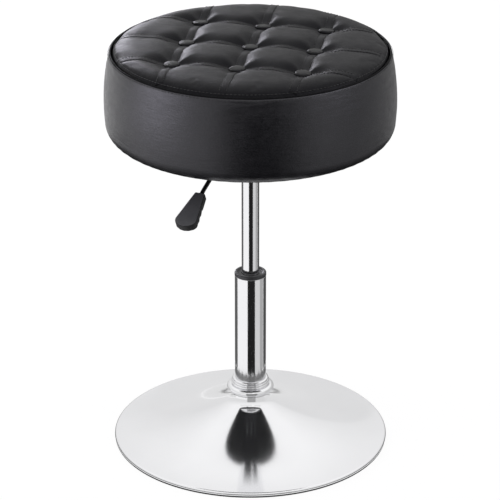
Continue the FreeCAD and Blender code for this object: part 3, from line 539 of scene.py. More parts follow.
@dataclass(frozen=True)
class Plywood(Finish):
    """Plywood, with grain on its faces and plies on its edge."""

    ply: float = 0.0025
    ply_bands: float = 0.314
    ply_tone: float = 0.6
    grain_run: Place = (9.0, 1.0, 1.0)
    grain_scale: float = 70.0
    grain_tone: float = 0.6
    grain_band: Point = (0.3, 0.6)
    depth: float = 0.0002
    strength: float = 0.3

    def dress(self, bench: Bench, shader: Node, place: Socket) -> None:
        """Add long grain and the bands of the plies.

        Args:
            bench: The material's bench.
            shader: The material's shader.
            place: The object's coordinates.
        """
        fibres = bench.shift(place, self.grain_run, "MULTIPLY")
        grain = bench.cloud(fibres, self.grain_scale, detail=6.0).outputs["Fac"]
        plies = bench.add("TexWave", {"bands_direction": "Z"}, Vector=place, Scale=self.ply_bands / self.ply)
        band = bench.span(plies.outputs["Fac"], 0.0, 1.0, self.ply_tone, 1.0)
        share = bench.sum("MULTIPLY", bench.span(grain, *self.grain_band), band)
        self.darken(bench, shader, share, self.grain_tone)
        self.bump(bench, shader, grain, self.strength, self.depth)


CHROME = Metal("chrome_plate", (0.866, 0.866, 0.88), (0.886, 0.886, 0.9), 0.08, 0.11, 14.0)
ZINC = Metal("zinc_steel", (0.46, 0.47, 0.48), (0.58, 0.59, 0.6), 0.3, 0.45, 90.0, grit=1400.0)
BRASS = Metal("valve_brass", (0.55, 0.4, 0.16), (0.66, 0.5, 0.22), 0.25, 0.4, 90.0, grit=1400.0)
SEAT_LEATHER = Leather(
    "seat_leather", (0.010, 0.0098, 0.0122), (0.0145, 0.0142, 0.0172), 0.3, 0.38, 60.0, gleam=0.8,
    stretch=6.0)
TOP_LEATHER = Leather(
    "top_leather", (0.010, 0.0098, 0.0118), (0.0145, 0.0142, 0.0167), 0.34, 0.42, 60.0, gleam=0.15)
# Painted shade: the welt's leather is darker and duller than the rest, so the seam's groove reads as shade.
WELT_SHADED_LEATHER = Leather(
    "welt_shaded_leather", (0.008, 0.008, 0.009), (0.012, 0.012, 0.013), 0.45, 0.55, 60.0, gleam=0.1, bend=1.3)
BUTTON_LEATHER = Leather(
    "button_leather", (0.006, 0.006, 0.007), (0.01, 0.01, 0.011), 0.16, 0.22, 90.0, grain=900.0,
    depth=0.0001, gleam=0.5, bend=1.25)
THREAD = Woven(
    "sewing_thread", (0.012, 0.012, 0.012), (0.02, 0.02, 0.02), 0.55, 0.7, 200.0, weave=3000.0, depth=0.00005)
TWINE = Woven("twine", (0.42, 0.36, 0.26), (0.5, 0.44, 0.33), 0.75, 0.9, 120.0, weave=1500.0)
DUST_CLOTH = Woven("dust_fabric", (0.014, 0.014, 0.015), (0.022, 0.022, 0.024), 0.8, 0.92, 60.0, weave=800.0)
FOAM = Moulded(
    "foam", (0.68, 0.62, 0.42), (0.74, 0.68, 0.5), 0.85, 0.95, 60.0, grit=900.0, depth=0.0006, strength=0.6)
RUBBER = Moulded(
    "black_rubber", (0.026, 0.026, 0.026), (0.036, 0.036, 0.036), 0.68, 0.8, 60.0, grit=1100.0, depth=0.0002)
PAINT = Moulded("black_paint", (0.016, 0.016, 0.018), (0.022, 0.022, 0.025), 0.34, 0.44, 60.0, grit=1300.0)
ROD_PAINT = Moulded(
    "rod_paint", (0.006, 0.006, 0.007), (0.01, 0.01, 0.011), 0.14, 0.2, 60.0, grit=900.0, strength=0.1)
# Painted light and shade: the grip's black plastic as a paler lit copy for its top and a darker shaded copy
# for its sides.
GRIP_LIT_TOP = Moulded(
    "grip_lit_top", (0.082, 0.082, 0.09), (0.096, 0.096, 0.104), 0.5, 0.62, 60.0, grit=2200.0)
GRIP_SHADED_SIDE = Moulded("grip_shaded_side", (0.004, 0.004, 0.005), (0.007, 0.007, 0.008), 0.6, 0.72, 60.0, grit=1600.0)
BLACK_PLASTIC = Moulded(
    "black_plastic", (0.03, 0.03, 0.033), (0.04, 0.04, 0.044), 0.36, 0.44, 60.0, grit=2000.0)
WHITE_PLASTIC = Moulded("white_plastic", (0.72, 0.72, 0.7), (0.8, 0.8, 0.78), 0.35, 0.5, 60.0, grit=1800.0)
PLY = Plywood("plywood", (0.55, 0.4, 0.24), (0.66, 0.5, 0.32), 0.55, 0.7, 30.0)

SLOT_FINISHES: dict[str, Finish] = {
    "chrome_plate": CHROME, "black_rubber": RUBBER, "zinc_steel": ZINC, "black_paint": PAINT,
    "black_plastic": BLACK_PLASTIC, "white_plastic": WHITE_PLASTIC, "valve_brass": BRASS, "plywood": PLY,
    "foam": FOAM, "leather": SEAT_LEATHER, "button_leather": BUTTON_LEATHER, "twine": TWINE,
    "dust_fabric": DUST_CLOTH,
}


@dataclass(frozen=True)
class Corner:
    """A corner of a turned profile, in millimetres: its place, and the size of its rounding."""

    reach: float
    height: float
    rounding: float = 0.0


def corners(points: Iterable[Point]) -> list[Corner]:
    """Return plain corners for profile points."""
    return [Corner(reach, height) for reach, height in points]


def arc_points(start: Point, middle: Point, end: Point, count: int) -> list[Point]:
    """Return points on the arc through three points.

    Args:
        start: The first point.
        middle: Any point between.
        end: The last point.
        count: How many steps to take.

    Returns:
        The points in order, both ends included.
    """
    (ax, ay), (bx, by), (cx, cy) = start, middle, end
    scale = 2 * (ax * (by - cy) + bx * (cy - ay) + cx * (ay - by))
    a, b, c = ax * ax + ay * ay, bx * bx + by * by, cx * cx + cy * cy
    x = (a * (by - cy) + b * (cy - ay) + c * (ay - by)) / scale
    y = (a * (cx - bx) + b * (ax - cx) + c * (bx - ax)) / scale
    radius = math.hypot(ax - x, ay - y)
    first = math.atan2(ay - y, ax - x)
    through = (math.atan2(by - y, bx - x) - first) % FULL_TURN
    sweep = (math.atan2(cy - y, cx - x) - first) % FULL_TURN
    if through > sweep:
        sweep -= FULL_TURN
    turns = [first + sweep * step / count for step in range(count + 1)]
    return [(x + radius * math.cos(turn), y + radius * math.sin(turn)) for turn in turns]


def smooth_step(value: float) -> float:
    """Return an eased value between 0 and 1."""
    held = min(1.0, max(0.0, value))
    return held * held * (3 - 2 * held)


def ring_way(turn: float) -> Vector:
    """Return the level direction at a turn about the column's axis."""
    return Vector((math.cos(turn), math.sin(turn), 0.0))


def ring_noise(turn: float, scale: float, height: float, shift: float = 0.0) -> float:
    """Return noise that meets itself after a full turn."""
    way = ring_way(turn)
    return noise.noise(Vector((scale * way.x + shift, scale * way.y, height)))


def points_of(parts: Iterable[Part]) -> list[bmesh.types.BMVert]:
    """Return the points among the parts that an operator made."""
    return [part for part in parts if isinstance(part, bmesh.types.BMVert)]


def edges_of(parts: Iterable[Part]) -> list[bmesh.types.BMEdge]:
    """Return the edges among the parts that an operator made."""
    return [part for part in parts if isinstance(part, bmesh.types.BMEdge)]


def chain(places: Iterable[Sequence[float]], loop: bool) -> Shape:
    """Start a shape from a line of edges.

    Args:
        places: The line's points in order.
        loop: Whether the last point joins the first.

    Returns:
        The new shape.
    """
    shape = bmesh.new()
    points = [shape.verts.new(place) for place in places]
    ends = points[1:] + points[:1] if loop else points[1:]
    for start, end in zip(points, ends):
        shape.edges.new((start, end))
    return shape


def spun(shape: Shape, angle: float, steps: int) -> Shape:
    """Spin a line about the column's axis.

    Args:
        shape: The line.
        angle: How far it is spun, in radians. A full turn is merged with its start.
        steps: How many steps the turn takes.

    Returns:
        The same shape.
    """
    outline = shape.verts[:] + shape.edges[:]
    bmesh.ops.spin(
        shape, geom=outline, cent=(0, 0, 0), axis=(0, 0, 1), angle=angle, steps=steps,
        use_merge=math.isclose(angle, FULL_TURN))
    return shape


def rounded(
        shape: Shape, parts: Sequence[Part], size: float, affect: str, segments: int) -> None:
    """Round some corners or edges of a shape by a size in millimetres."""
    bmesh.ops.bevel(
        shape, geom=parts, offset=size * MM, offset_type="OFFSET", segments=segments, profile=0.5,
        affect=affect, material=-1)


def closed(shape: Shape) -> Shape:
    """Merge a shape's doubles and point its faces outwards.

    Args:
        shape: The shape.

    Returns:
        The same shape.
    """
    bmesh.ops.remove_doubles(shape, verts=shape.verts, dist=2 * TINY)
    bmesh.ops.recalc_face_normals(shape, faces=shape.faces)
    return shape


def turned(profile: Sequence[Corner], steps: int) -> Shape:
    """Spin a closed profile about the column's axis.

    Args:
        profile: The corners in order.
        steps: How many steps the full turn takes.

    Returns:
        A closed shape with its faces pointing outwards.
    """
    shape = chain([(corner.reach * MM, 0.0, corner.height * MM) for corner in profile], loop=True)
    for point, corner in zip(shape.verts[:], profile):
        if corner.rounding:
            rounded(shape, [point], corner.rounding, "VERTICES", CORNER_STEPS)
    return closed(spun(shape, FULL_TURN, steps))


def join(whole: Shape, part: Shape) -> None:
    """Add a shape to another and free it.

    Args:
        whole: The shape that grows.
        part: The shape that is added.
    """
    carrier = bpy.data.meshes.new("carrier")
    part.to_mesh(carrier)
    part.free()
    whole.from_mesh(carrier)
    bpy.data.meshes.remove(carrier)


def in_scene(name: str, data: bpy.types.ID) -> bpy.types.Object:
    """Put a mesh, a lamp or a camera in the scene.

    Args:
        name: The object's name.
        data: What it shows.

    Returns:
        The new object.
    """
    made = bpy.data.objects.new(name, data)
    bpy.context.collection.objects.link(made)
    return made


def shown(name: str, shape: Shape) -> bpy.types.Object:
    """Turn a shape into an object of the scene.

    Args:
        name: The object's name.
        shape: The shape, which is freed.

    Returns:
        The new object.
    """
    mesh = bpy.data.meshes.new(name)
    shape.to_mesh(mesh)
    shape.free()
    return in_scene(name, mesh)


def piece(
        name: str, shape: Shape, finish: Finish, body: str,
        sharp: float = 38.0) -> bpy.types.Object:
    """Turn a finished shape into a piece that rides on a body.

    Args:
        name: The piece's name.
        shape: The shape, which is freed.
        finish: The finish that it gets.
        body: The body that it moves with.
        sharp: The angle in degrees over which an edge shows as sharp.

    Returns:
        The new object.
    """
    made = shown(name, shape)
    mesh = made.data
    mesh.shade_smooth()
    mesh.set_sharp_from_angle(angle=math.radians(sharp))
    mesh.materials.append(finish.material())
    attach(made, body)
    LOG.info("%s: %d faces on %s", name, len(mesh.polygons), body)
    return made


def sewn_thread(places: Sequence[tuple[Vector, Vector]], length: float) -> Shape:
    """Return stitches of thread.

    Args:
        places: The middle of each stitch, and the direction that it lies in.
        length: The length of a stitch in millimetres.

    Returns:
        All the stitches as one shape.
    """
    whole = bmesh.new()
    half_wide, half_high = 0.45 * MM, 0.4 * MM
    upright = Matrix.Rotation(math.pi / 2, 4, "Y")
    size = Matrix.Diagonal((length / 2 * MM, half_wide, half_high, 1.0)) @ upright
    batch = 32
    for first in range(0, len(places), batch):
        part = bmesh.new()
        for place, ahead in places[first:first + batch]:
            turn = ahead.to_track_quat("X", "Z").to_matrix().to_4x4()
            matrix = Matrix.Translation(place) @ turn @ size
            bmesh.ops.create_uvsphere(part, u_segments=6, v_segments=4, radius=1.0, matrix=matrix)
        join(whole, part)
    return whole


@dataclass
class FootTrim:
    """The bell-shaped trim ring at the foot of the column. Sizes are in millimetres."""

    neck: float
    neck_top: float
    neck_play: float = 0.2
    drop: float = 2.4
    rise: float = 17.4
    foot: float = 29.1
    belly: float = 34.1
    belly_rise: float = 4.4
    waist: float = 27.6
    waist_rise: float = 9.6
    foot_bulge: Point = (0.88, -0.88)
    dome_bulge: Point = (1.5, 1.2)
    beads: tuple[float, ...] = (27.9, 27.1, 26.2)
    bead_start: float = 0.4
    bead_pitch: float = 3.2
    bead_height: float = 3.0
    bead_round: float = 0.9
    groove: float = 1.3
    lip: float = 23.9
    bore: float = 22.65
    foot_steps: int = 10
    dome_steps: int = 14
    bead_steps: int = 8
    steps: int = 192

    def bowed(self, first: Point, last: Point, bulge: Point) -> Point:
        """Return the middle of two points, moved by a bulge."""
        return first[0] / 2 + last[0] / 2 + bulge[0], first[1] / 2 + last[1] / 2 + bulge[1]

    def build(self) -> None:
        """Build the bell, the beads above it and the bore."""
        low, high = self.neck_top - self.drop, self.neck_top + self.rise
        foot, belly = (self.foot, low), (self.belly, low + self.belly_rise)
        waist = (self.waist, low + self.waist_rise)
        outline = arc_points(foot, self.bowed(foot, belly, self.foot_bulge), belly, self.foot_steps)
        outline += arc_points(belly, self.bowed(belly, waist, self.dome_bulge), waist, self.dome_steps)[1:]
        for step, reach in enumerate(self.beads):
            start = waist[1] + self.bead_start + self.bead_pitch * step
            edge = reach - self.bead_round
            outline += [(reach - self.groove, start)]
            outline += arc_points(
                (edge, start), (reach, start + self.bead_height / 2), (edge, start + self.bead_height),
                self.bead_steps)
        seat = self.neck + self.neck_play
        outline += [(self.lip, high), (self.bore, high), (self.bore, self.neck_top)]
        outline += [(seat, self.neck_top), (seat, low)]
        shape = turned(corners(outline), self.steps)
        trim = piece("foot_trim", shape, CHROME, BASE_BODY, sharp=50.0)
        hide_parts("foot_trim_ring")


@dataclass
class TrumpetBase:
    """The chromed trumpet on its rubber ring, and the trim ring on its neck. Sizes are in millimetres."""

    rim: float = 200.0
    sheet: float = 1.6
    neck: float = 24.25
    neck_top: float = 75.71
    neck_round: float = 18.0
    neck_steps: int = 10
    foot: float = 6.5
    steep: float = math.radians(27.2)
    level: float = 220.0
    flare_steps: int = 44
    rim_round: float = 3.2
    lip_foot: float = 2.9
    lip_turns: tuple[int, ...] = (80, 70, 60, 50, 40, 30, 20, 10, 0)
    ring_back: float = 0.4
    ring_width: float = 6.0
    ring_height: float = 4.0
    ring_play: float = 0.05
    steps: int = 256

    def flare(self, radius: float, depth: float) -> Point:
        """Work out a point of the trumpet.

        Args:
            radius: The radius on its top face.
            depth: The depth below its top face.

        Returns:
            The point's reach and height.
        """
        slope = math.tan(self.steep) * (self.level - radius) / (self.level - self.flare_start())
        size = math.hypot(slope, 1.0)
        return radius - depth * slope / size, self.foot + slope * (self.level - radius) / 2 - depth / size

    def flare_start(self) -> float:
        """Return the radius where the neck's round ends."""
        return self.neck + self.neck_round * (1 - math.sin(self.steep))

    def skin(self, depth: float) -> list[Point]:
        """Work out the shell's line at a depth.

        Args:
            depth: The depth below its top face.

        Returns:
            The points from the neck's top to the lip's foot.
        """
        start, end = self.flare_start(), self.rim - self.rim_round
        centre = self.neck + self.neck_round
        neck_foot = self.flare(start, 0.0)[1] + self.neck_round * math.cos(self.steep)
        sweep = math.pi / 2 - self.steep
        turns = [math.pi + sweep * step / self.neck_steps for step in range(self.neck_steps + 1)]
        reach = self.neck_round + depth
        neck = [(centre + reach * math.cos(turn), neck_foot + reach * math.sin(turn)) for turn in turns]
        shares = range(1, self.flare_steps + 1)
        flared = [self.flare(start + (end - start) * step / self.flare_steps, depth) for step in shares]
        _, rim_height = self.flare(end, self.rim_round)
        rounding = self.rim_round - depth
        turns = [math.radians(turn) for turn in self.lip_turns]
        lip = [(end + rounding * math.cos(turn), rim_height + rounding * math.sin(turn)) for turn in turns]
        top, foot = (self.neck - depth, self.neck_top), (self.rim - depth, self.lip_foot)
        return [top] + neck + flared + lip + [foot]

    def build(self) -> None:
        """Build the base's shown pieces."""
        outline = self.skin(0.0) + self.skin(self.sheet)[::-1]
        shape = turned(corners(outline), self.steps)
        shell = piece("chromed_base", shape, CHROME, BASE_BODY, sharp=60.0)
        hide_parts("base_shell")
        self.build_ring()
        FootTrim(self.neck, self.neck_top).build()

    def build_ring(self) -> None:
        """Build the rubber ring that grips the lip."""
        outer, inner = self.rim - self.ring_back, self.rim - self.ring_width
        grip = self.rim - self.sheet - self.ring_play
        profile = [
            Corner(inner, 0.0, 0.5), Corner(outer, 0.0, 0.7), Corner(outer, self.lip_foot),
            Corner(grip, self.lip_foot), Corner(grip, self.ring_height), Corner(inner, self.ring_height, 0.6)]
        ring = piece("rubber_ring", turned(profile, self.steps), RUBBER, BASE_BODY)
        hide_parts("base_edge_ring")


@dataclass
class LiftColumn:
    """The outer tube, its collar and the gas cylinder. Sizes are in millimetres."""

    radius: float = 22.6
    wall: float = 1.5
    top: float = 256.0
    bottom: float = 9.0
    taper_top: float = 60.0
    slope: float = 0.0131
    cylinder: float = 12.6
    bore: float = 10.6
    collar_top: float = 261.2
    collar_lap: float = 0.3
    collar_lip: float = 4.2
    collar_slope: float = 5.6
    collar_dish: float = 1.6
    collar_play: float = 0.4
    spigot: float = 9.0
    spigot_play: float = 0.05
    steps: int = 128
    cylinder_steps: int = 96

    def build(self) -> None:
        """Build the column's shown pieces."""
        low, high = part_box("gas_cylinder")
        socket_low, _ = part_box("plate_socket")
        foot = self.radius - self.slope * (self.taper_top - self.bottom)
        inner = self.radius - self.wall
        tube_line = [
            Corner(foot, self.bottom, 0.3), Corner(self.radius, self.taper_top),
            Corner(self.radius, self.top, 0.4), Corner(inner, self.top), Corner(inner, self.taper_top),
            Corner(foot - self.wall, self.bottom)]
        tube = piece("column_outer", turned(tube_line, self.steps), CHROME, BASE_BODY)
        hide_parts("column_tube")
        start, shoulder, cap = low.z / MM, socket_low.z / MM, high.z / MM
        tip = self.cylinder - self.slope * (cap - shoulder)
        rod_line = [
            Corner(self.bore, start), Corner(self.cylinder, start, 0.4), Corner(self.cylinder, shoulder),
            Corner(tip, cap, 0.4), Corner(self.bore, cap)]
        shape = turned(rod_line, self.cylinder_steps)
        cylinder = piece("lift_cylinder", shape, CHROME, SEAT_BODY)
        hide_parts("gas_cylinder")
        self.build_collar()

    def build_collar(self) -> None:
        """Build the black cap on the column's top end."""
        outer, bore = self.radius + self.collar_lap, self.cylinder + self.collar_play
        spigot, spigot_foot = self.radius - self.wall - self.spigot_play, self.top - self.spigot
        dish = self.collar_top - self.collar_dish
        profile = [
            Corner(outer, self.top, 0.5), Corner(outer, self.collar_top, 1.7),
            Corner(outer - self.collar_lip, self.collar_top, 1.0),
            Corner(outer - self.collar_slope, dish, 0.6), Corner(bore, dish, 0.5), Corner(bore, spigot_foot),
            Corner(spigot, spigot_foot, 0.4), Corner(spigot, self.top)]
        collar = piece("column_cap", turned(profile, self.steps), BLACK_PLASTIC, BASE_BODY)
        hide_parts("column_collar")


class SewnSide(Enum):
    """The two directions that the sewn strips run in."""

    ALONG = 0
    ACROSS = 1


@dataclass(frozen=True)
class Puckers:
    """A row of small puckers beside a seam. Sizes are in millimetres."""

    height: float
    pitch: float
    wander: float
    decay: float
    start: float
    limit: float

    def lift(self, along: float, away: float, drift: float) -> float:
        """Work out how far the puckers lift the leather.

        Args:
            along: The place along the seam.
            away: The distance from the seam.
            drift: How far the puckers are out of step there, between -1 and 1.

        Returns:
            The lift in millimetres.
        """
        if not 0.0 < away < self.limit:
            return 0.0
        ripple = math.sin(along / self.pitch * FULL_TURN + self.wander * drift)
        return self.height * ripple * math.exp(-away / self.decay) * min(1.0, away / self.start)


STRIP_PUCKERS = Puckers(height=0.07, pitch=9.5, wander=4.0, decay=4.5, start=1.5, limit=16.0)
RIM_PUCKERS = Puckers(height=0.15, pitch=11.0, wander=5.0, decay=5.0, start=2.0, limit=18.0)


@dataclass
class TuftGrid:
    """The grid of strips and buttons that the top is sewn down on. Sizes are in millimetres."""

    radius: float = 192.3
    seam: float = 598.0
    pitch: float = 91.0
    turn: float = -11.5
    strip: float = 11.6
    cell: float = 3.0
    strip_dip: float = 1.2
    strip_sink: float = 4.6
    rim_sink: float = 1.5
    rim_run: float = 40.0
    rim_drop: float = 3.6
    rim_power: float = 2.7
    across_drop: float = 0.5
    crown: float = 13.4
    crown_fall: float = 2.2
    crown_reach: float = 150.0
    button: float = 12.0

    def line_places(self) -> tuple[float, float, float]:
        """Return the distances of the three strips of a direction from the seat's middle."""
        return -self.pitch, 0.0, self.pitch

    def nearest_line(self, place: float) -> float:
        """Return the line of the strip that is nearest to a place."""
        return max(-self.pitch, min(self.pitch, round(place / self.pitch) * self.pitch))

    def from_line(self, place: float) -> float:
        """Return the distance of a place from the nearest line."""
        return min(abs(abs(place) - line) for line in (0.0, self.pitch))

    def crown_height(self, reach: float) -> float:
        """Work out the height of the unsewn cushion over the seam.

        Args:
            reach: The distance from the seat's middle.

        Returns:
            The height in millimetres.
        """
        if reach < self.crown_reach:
            return self.crown - self.crown_fall * (reach / self.crown_reach) ** 2
        share = min(1.0, (reach - self.crown_reach) / (self.radius - self.crown_reach))
        edge = self.crown - self.crown_fall + self.rim_drop
        return edge * math.sqrt(1 - share ** self.rim_power) - self.rim_drop

    def strip_height(self, offset: float, along: float, side: SewnSide, across: float = 0.0) -> float:
        """Work out a sewn strip's height over the seam.

        Args:
            offset: The strip's distance from the seat's middle.
            along: The place along the strip.
            side: The direction that the strip runs in.
            across: The place across the strip.

        Returns:
            The height in millimetres.
        """
        drop = self.across_drop if side is SewnSide.ACROSS else 0.0
        outside = smooth_step((abs(along) - self.pitch) / self.rim_run)
        sink = self.strip_sink + (self.rim_sink - self.strip_sink) * outside
        crest = self.crown_height(math.hypot(offset + across, along)) - sink
        low = min(self.strip_dip, crest)
        return low + (crest - low) * smooth_step(self.from_line(along) / self.pitch * 2) - drop

    def placed(self, shape: Shape) -> Shape:
        """Turn a shape from the tuft grid to the seat, and lift it to the seam.

        Args:
            shape: The shape, in metres.

        Returns:
            The same shape.
        """
        place = Matrix.Translation((0, 0, self.seam * MM)) @ Matrix.Rotation(math.radians(self.turn), 4, "Z")
        bmesh.ops.transform(shape, matrix=place, verts=shape.verts)
        return shape


@dataclass
class QuiltedTop(TuftGrid):
    """The padded top, which swells to pillows between the sewn strips.

    Its rim's trim, band and hold are in cells of its net.
    """

    rim_trim: float = 0.25
    rim_band: float = 2.5
    rim_hold: float = 0.8
    rim_passes: int = 4
    strip_hold: float = 0.1
    flank: float = 31.0
    flank_power: float = 2.3
    crease_width: float = 2.0
    crease_depth: float = 0.35
    under: float = 586.0
    swell_cap: float = 1.6
    swell_frames: int = 20
    fold_height: float = 0.22
    fold_count: float = 9.0
    fold_wander: float = 5.0
    fold_drift: float = 2.2
    fold_decay: float = 9.0
    fold_limit: float = 45.0
    drift_sizes: Place = (23.0, 7.0, 40.0)
    rim_drift: float = 4.0
    slack: float = 0.3
    slack_size: float = 30.0

    def lines(self) -> list[float]:
        """Work out the places of the net's lines.

        Returns:
            The places in order, with the strips' edges among them.
        """
        half = self.strip / 2
        places = []
        for centre in self.line_places():
            places += [centre + half * step / 2 for step in range(-2, 3)]
        inner = round((self.pitch - self.strip) / self.cell)
        for left in (-self.pitch + half, half):
            places += [left + (self.pitch - self.strip) * step / inner for step in range(1, inner)]
        outer = self.pitch + half
        count = math.ceil((self.radius - outer) / self.cell) + 1
        for step in range(1, count + 1):
            places += [outer + self.cell * step, -outer - self.cell * step]
        return sorted(places)

    def start_height(self, across: float, along: float) -> float:
        """Work out the cushion's height before it swells, from the strips up to the pillows.

        Args:
            across: The place across the grid.
            along: The place along the grid.

        Returns:
            The height in millimetres.
        """
        ceiling = self.crown_height(math.hypot(across, along))
        height = ceiling
        half = self.strip / 2
        for here, there, side in ((across, along, SewnSide.ALONG), (along, across, SewnSide.ACROSS)):
            offset = self.nearest_line(here)
            away = max(0.0, abs(here - offset) - half)
            low = self.strip_height(offset, there, side, max(-half, min(half, here - offset)))
            share = min(1.0, away / self.flank)
            flank = low + max(0.0, ceiling - low) * (1 - (1 - share) ** self.flank_power)
            height = self.soft_min(height, flank)
        return height

    def soft_min(self, first: float, second: float) -> float:
        """Return the lower of two heights, with a crease where they meet."""
        share = max(0.0, 1.0 - abs(first - second) / self.crease_width)
        return min(first, second) - self.crease_depth * share * share

    def net(self) -> Shape:
        """Make the cushion's net, trimmed to the seat's circle, at its start heights.

        Returns:
            The net, in millimetres.
        """
        places = self.lines()
        count = len(places) - 1
        shape = bmesh.new()
        bmesh.ops.create_grid(shape, x_segments=count, y_segments=count, size=1.0)
        for vert in shape.verts:
            across = places[round((vert.co.x + 1) / 2 * count)]
            along = places[round((vert.co.y + 1) / 2 * count)]
            vert.co = (across, along, 0.0)
        limit = self.radius - self.rim_trim * self.cell
        outside = [face for face in shape.faces if face.calc_center_median().to_2d().length > limit]
        bmesh.ops.delete(shape, geom=outside, context="FACES")
        rim = [vert for vert in shape.verts if vert.is_boundary]
        for vert in rim:
            vert.co *= self.radius / vert.co.length
        inner = [vert for vert in shape.verts if not vert.is_boundary]
        near = [vert for vert in inner if self.radius - vert.co.length < self.rim_band * self.cell]
        for _ in range(self.rim_passes):
            bmesh.ops.smooth_vert(shape, verts=near, factor=0.5, use_axis_x=True, use_axis_y=True)
        for vert in shape.verts:
            vert.co.z = self.start_height(vert.co.x, vert.co.y)
        return shape

    def sewn(self, across: float, along: float) -> bool:
        """Tell whether a place is held by a seam.

        Args:
            across: The place across the grid.
            along: The place along the grid.

        Returns:
            Whether it is on a strip or at the rim.
        """
        edge = self.strip / 2 + self.strip_hold
        near = min(self.from_line(across), self.from_line(along))
        return near < edge or math.hypot(across, along) > self.radius - self.rim_hold * self.cell

    def swell(self, cushion: bpy.types.Object) -> None:
        """Blow the pillows up between their seams with a cloth run, and keep the result.

        Args:
            cushion: The net as an object.
        """
        start = [vert.co.copy() for vert in cushion.data.vertices]
        pins = [vert.index for vert in cushion.data.vertices if self.sewn(vert.co.x / MM, vert.co.y / MM)]
        cushion.vertex_groups.new(name="sewn").add(pins, 1.0, "REPLACE")
        cloth = cushion.modifiers.new("swell", "CLOTH")
        settings = cloth.settings
        settings.vertex_group_mass = "sewn"
        settings.quality = 6
        settings.mass = 0.3
        settings.tension_stiffness = 12.0
        settings.compression_stiffness = 12.0
        settings.shear_stiffness = 4.0
        settings.bending_stiffness = 2.0
        settings.shrink_min = -0.001
        settings.use_pressure = True
        settings.uniform_pressure_force = 2.5
        settings.effector_weights.gravity = 0.0
        cloth.point_cache.frame_start = 1
        cloth.point_cache.frame_end = self.swell_frames
        for step in range(1, self.swell_frames + 1):
            bpy.context.scene.frame_set(step)
        swollen = cushion.evaluated_get(bpy.context.evaluated_depsgraph_get()).data
        moves = [vert.co - before for vert, before in zip(swollen.vertices, start)]
        cushion.modifiers.remove(cloth)
        bpy.context.scene.frame_set(1)
        cap = self.swell_cap * MM
        LOG.info("cloth run moved up to %.1f mm", max(move.length for move in moves) / MM)
        for vert, before, move in zip(cushion.data.vertices, start, moves):
            size = move.length
            vert.co = before + (move * (cap * math.tanh(size / cap) / size) if size else move)
        cushion.vertex_groups.clear()

    def refine(self, cushion: bpy.types.Object) -> Shape:
        """Make the cushion one subdivision finer.

        Args:
            cushion: The net as an object.

        Returns:
            The finer shape.
        """
        smooth = cushion.modifiers.new("smooth", "SUBSURF")
        smooth.levels = smooth.render_levels = 1
        fine = cushion.evaluated_get(bpy.context.evaluated_depsgraph_get()).to_mesh()
        shape = bmesh.new()
        shape.from_mesh(fine)
        cushion.modifiers.remove(smooth)
        return shape

    def pucker(self, shape: Shape) -> None:
        """Draw the leather in along the stitches and the rim, and into folds round the buttons.

        Args:
            shape: The cushion, in metres.
        """
        for vert in shape.verts:
            across, along = vert.co.x / MM, vert.co.y / MM
            lift = 0.0
            for here, there in ((across, along), (along, across)):
                offset = self.nearest_line(here)
                sizes = zip((there, offset, here), self.drift_sizes)
                drift = noise.noise(Vector([place / size for place, size in sizes]))
                lift += STRIP_PUCKERS.lift(there, abs(here - offset) - self.strip / 2, drift)
            lift += self.button_folds(across, along)
            turn = math.atan2(along, across)
            edge = self.radius - math.hypot(across, along)
            lift += RIM_PUCKERS.lift(turn * self.radius, edge, ring_noise(turn, self.rim_drift, RIM_SEED))
            slack = Vector((across / self.slack_size, along / self.slack_size, SLACK_SEED))
            lift += self.slack * noise.noise(slack)
            vert.co.z += lift * MM

    def button_folds(self, across: float, along: float) -> float:
        """Work out the folds that a button's pull makes round it.

        Args:
            across: The place across the grid.
            along: The place along the grid.

        Returns:
            The folds' height in millimetres.
        """
        column = max(-1, min(1, round(across / self.pitch)))
        row = max(-1, min(1, round(along / self.pitch)))
        dx, dy = across - column * self.pitch, along - row * self.pitch
        away = math.hypot(dx, dy)
        if away > self.fold_limit or min(abs(dx), abs(dy)) < self.strip / 2:
            return 0.0
        turn = math.atan2(dy, dx)
        drift = ring_noise(turn, self.fold_drift, FOLD_SEEDS[0] * column + FOLD_SEEDS[1] * row)
        fold = math.sin(self.fold_count * turn + self.fold_wander * drift)
        return self.fold_height * fold * math.exp(-max(0.0, away - self.button) / self.fold_decay)

    def build(self) -> None:
        """Build the cushion from its net."""
        shape = self.net()
        for vert in shape.verts:
            vert.co *= MM
        net = shown("cushion_net", shape)
        self.swell(net)
        shape = self.refine(net)
        bpy.data.objects.remove(net)
        self.pucker(shape)
        self.close(shape)
        cushion = piece("quilted_top", self.placed(shape), TOP_LEATHER, SEAT_BODY, sharp=70.0)
        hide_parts("top_panel", "seat_foam")

    def close(self, shape: Shape) -> None:
        """Close the cushion below with a skirt and a flat underside.

        Args:
            shape: The cushion, in metres.
        """
        rim = [edge for edge in shape.edges if edge.is_boundary]
        skirt = bmesh.ops.extrude_edge_only(shape, edges=rim)["geom"]
        depth = (self.under - self.seam) * MM
        for vert in points_of(skirt):
            vert.co.z = depth
        bmesh.ops.holes_fill(shape, edges=[edge for edge in edges_of(skirt) if edge.is_boundary])
        closed(shape)


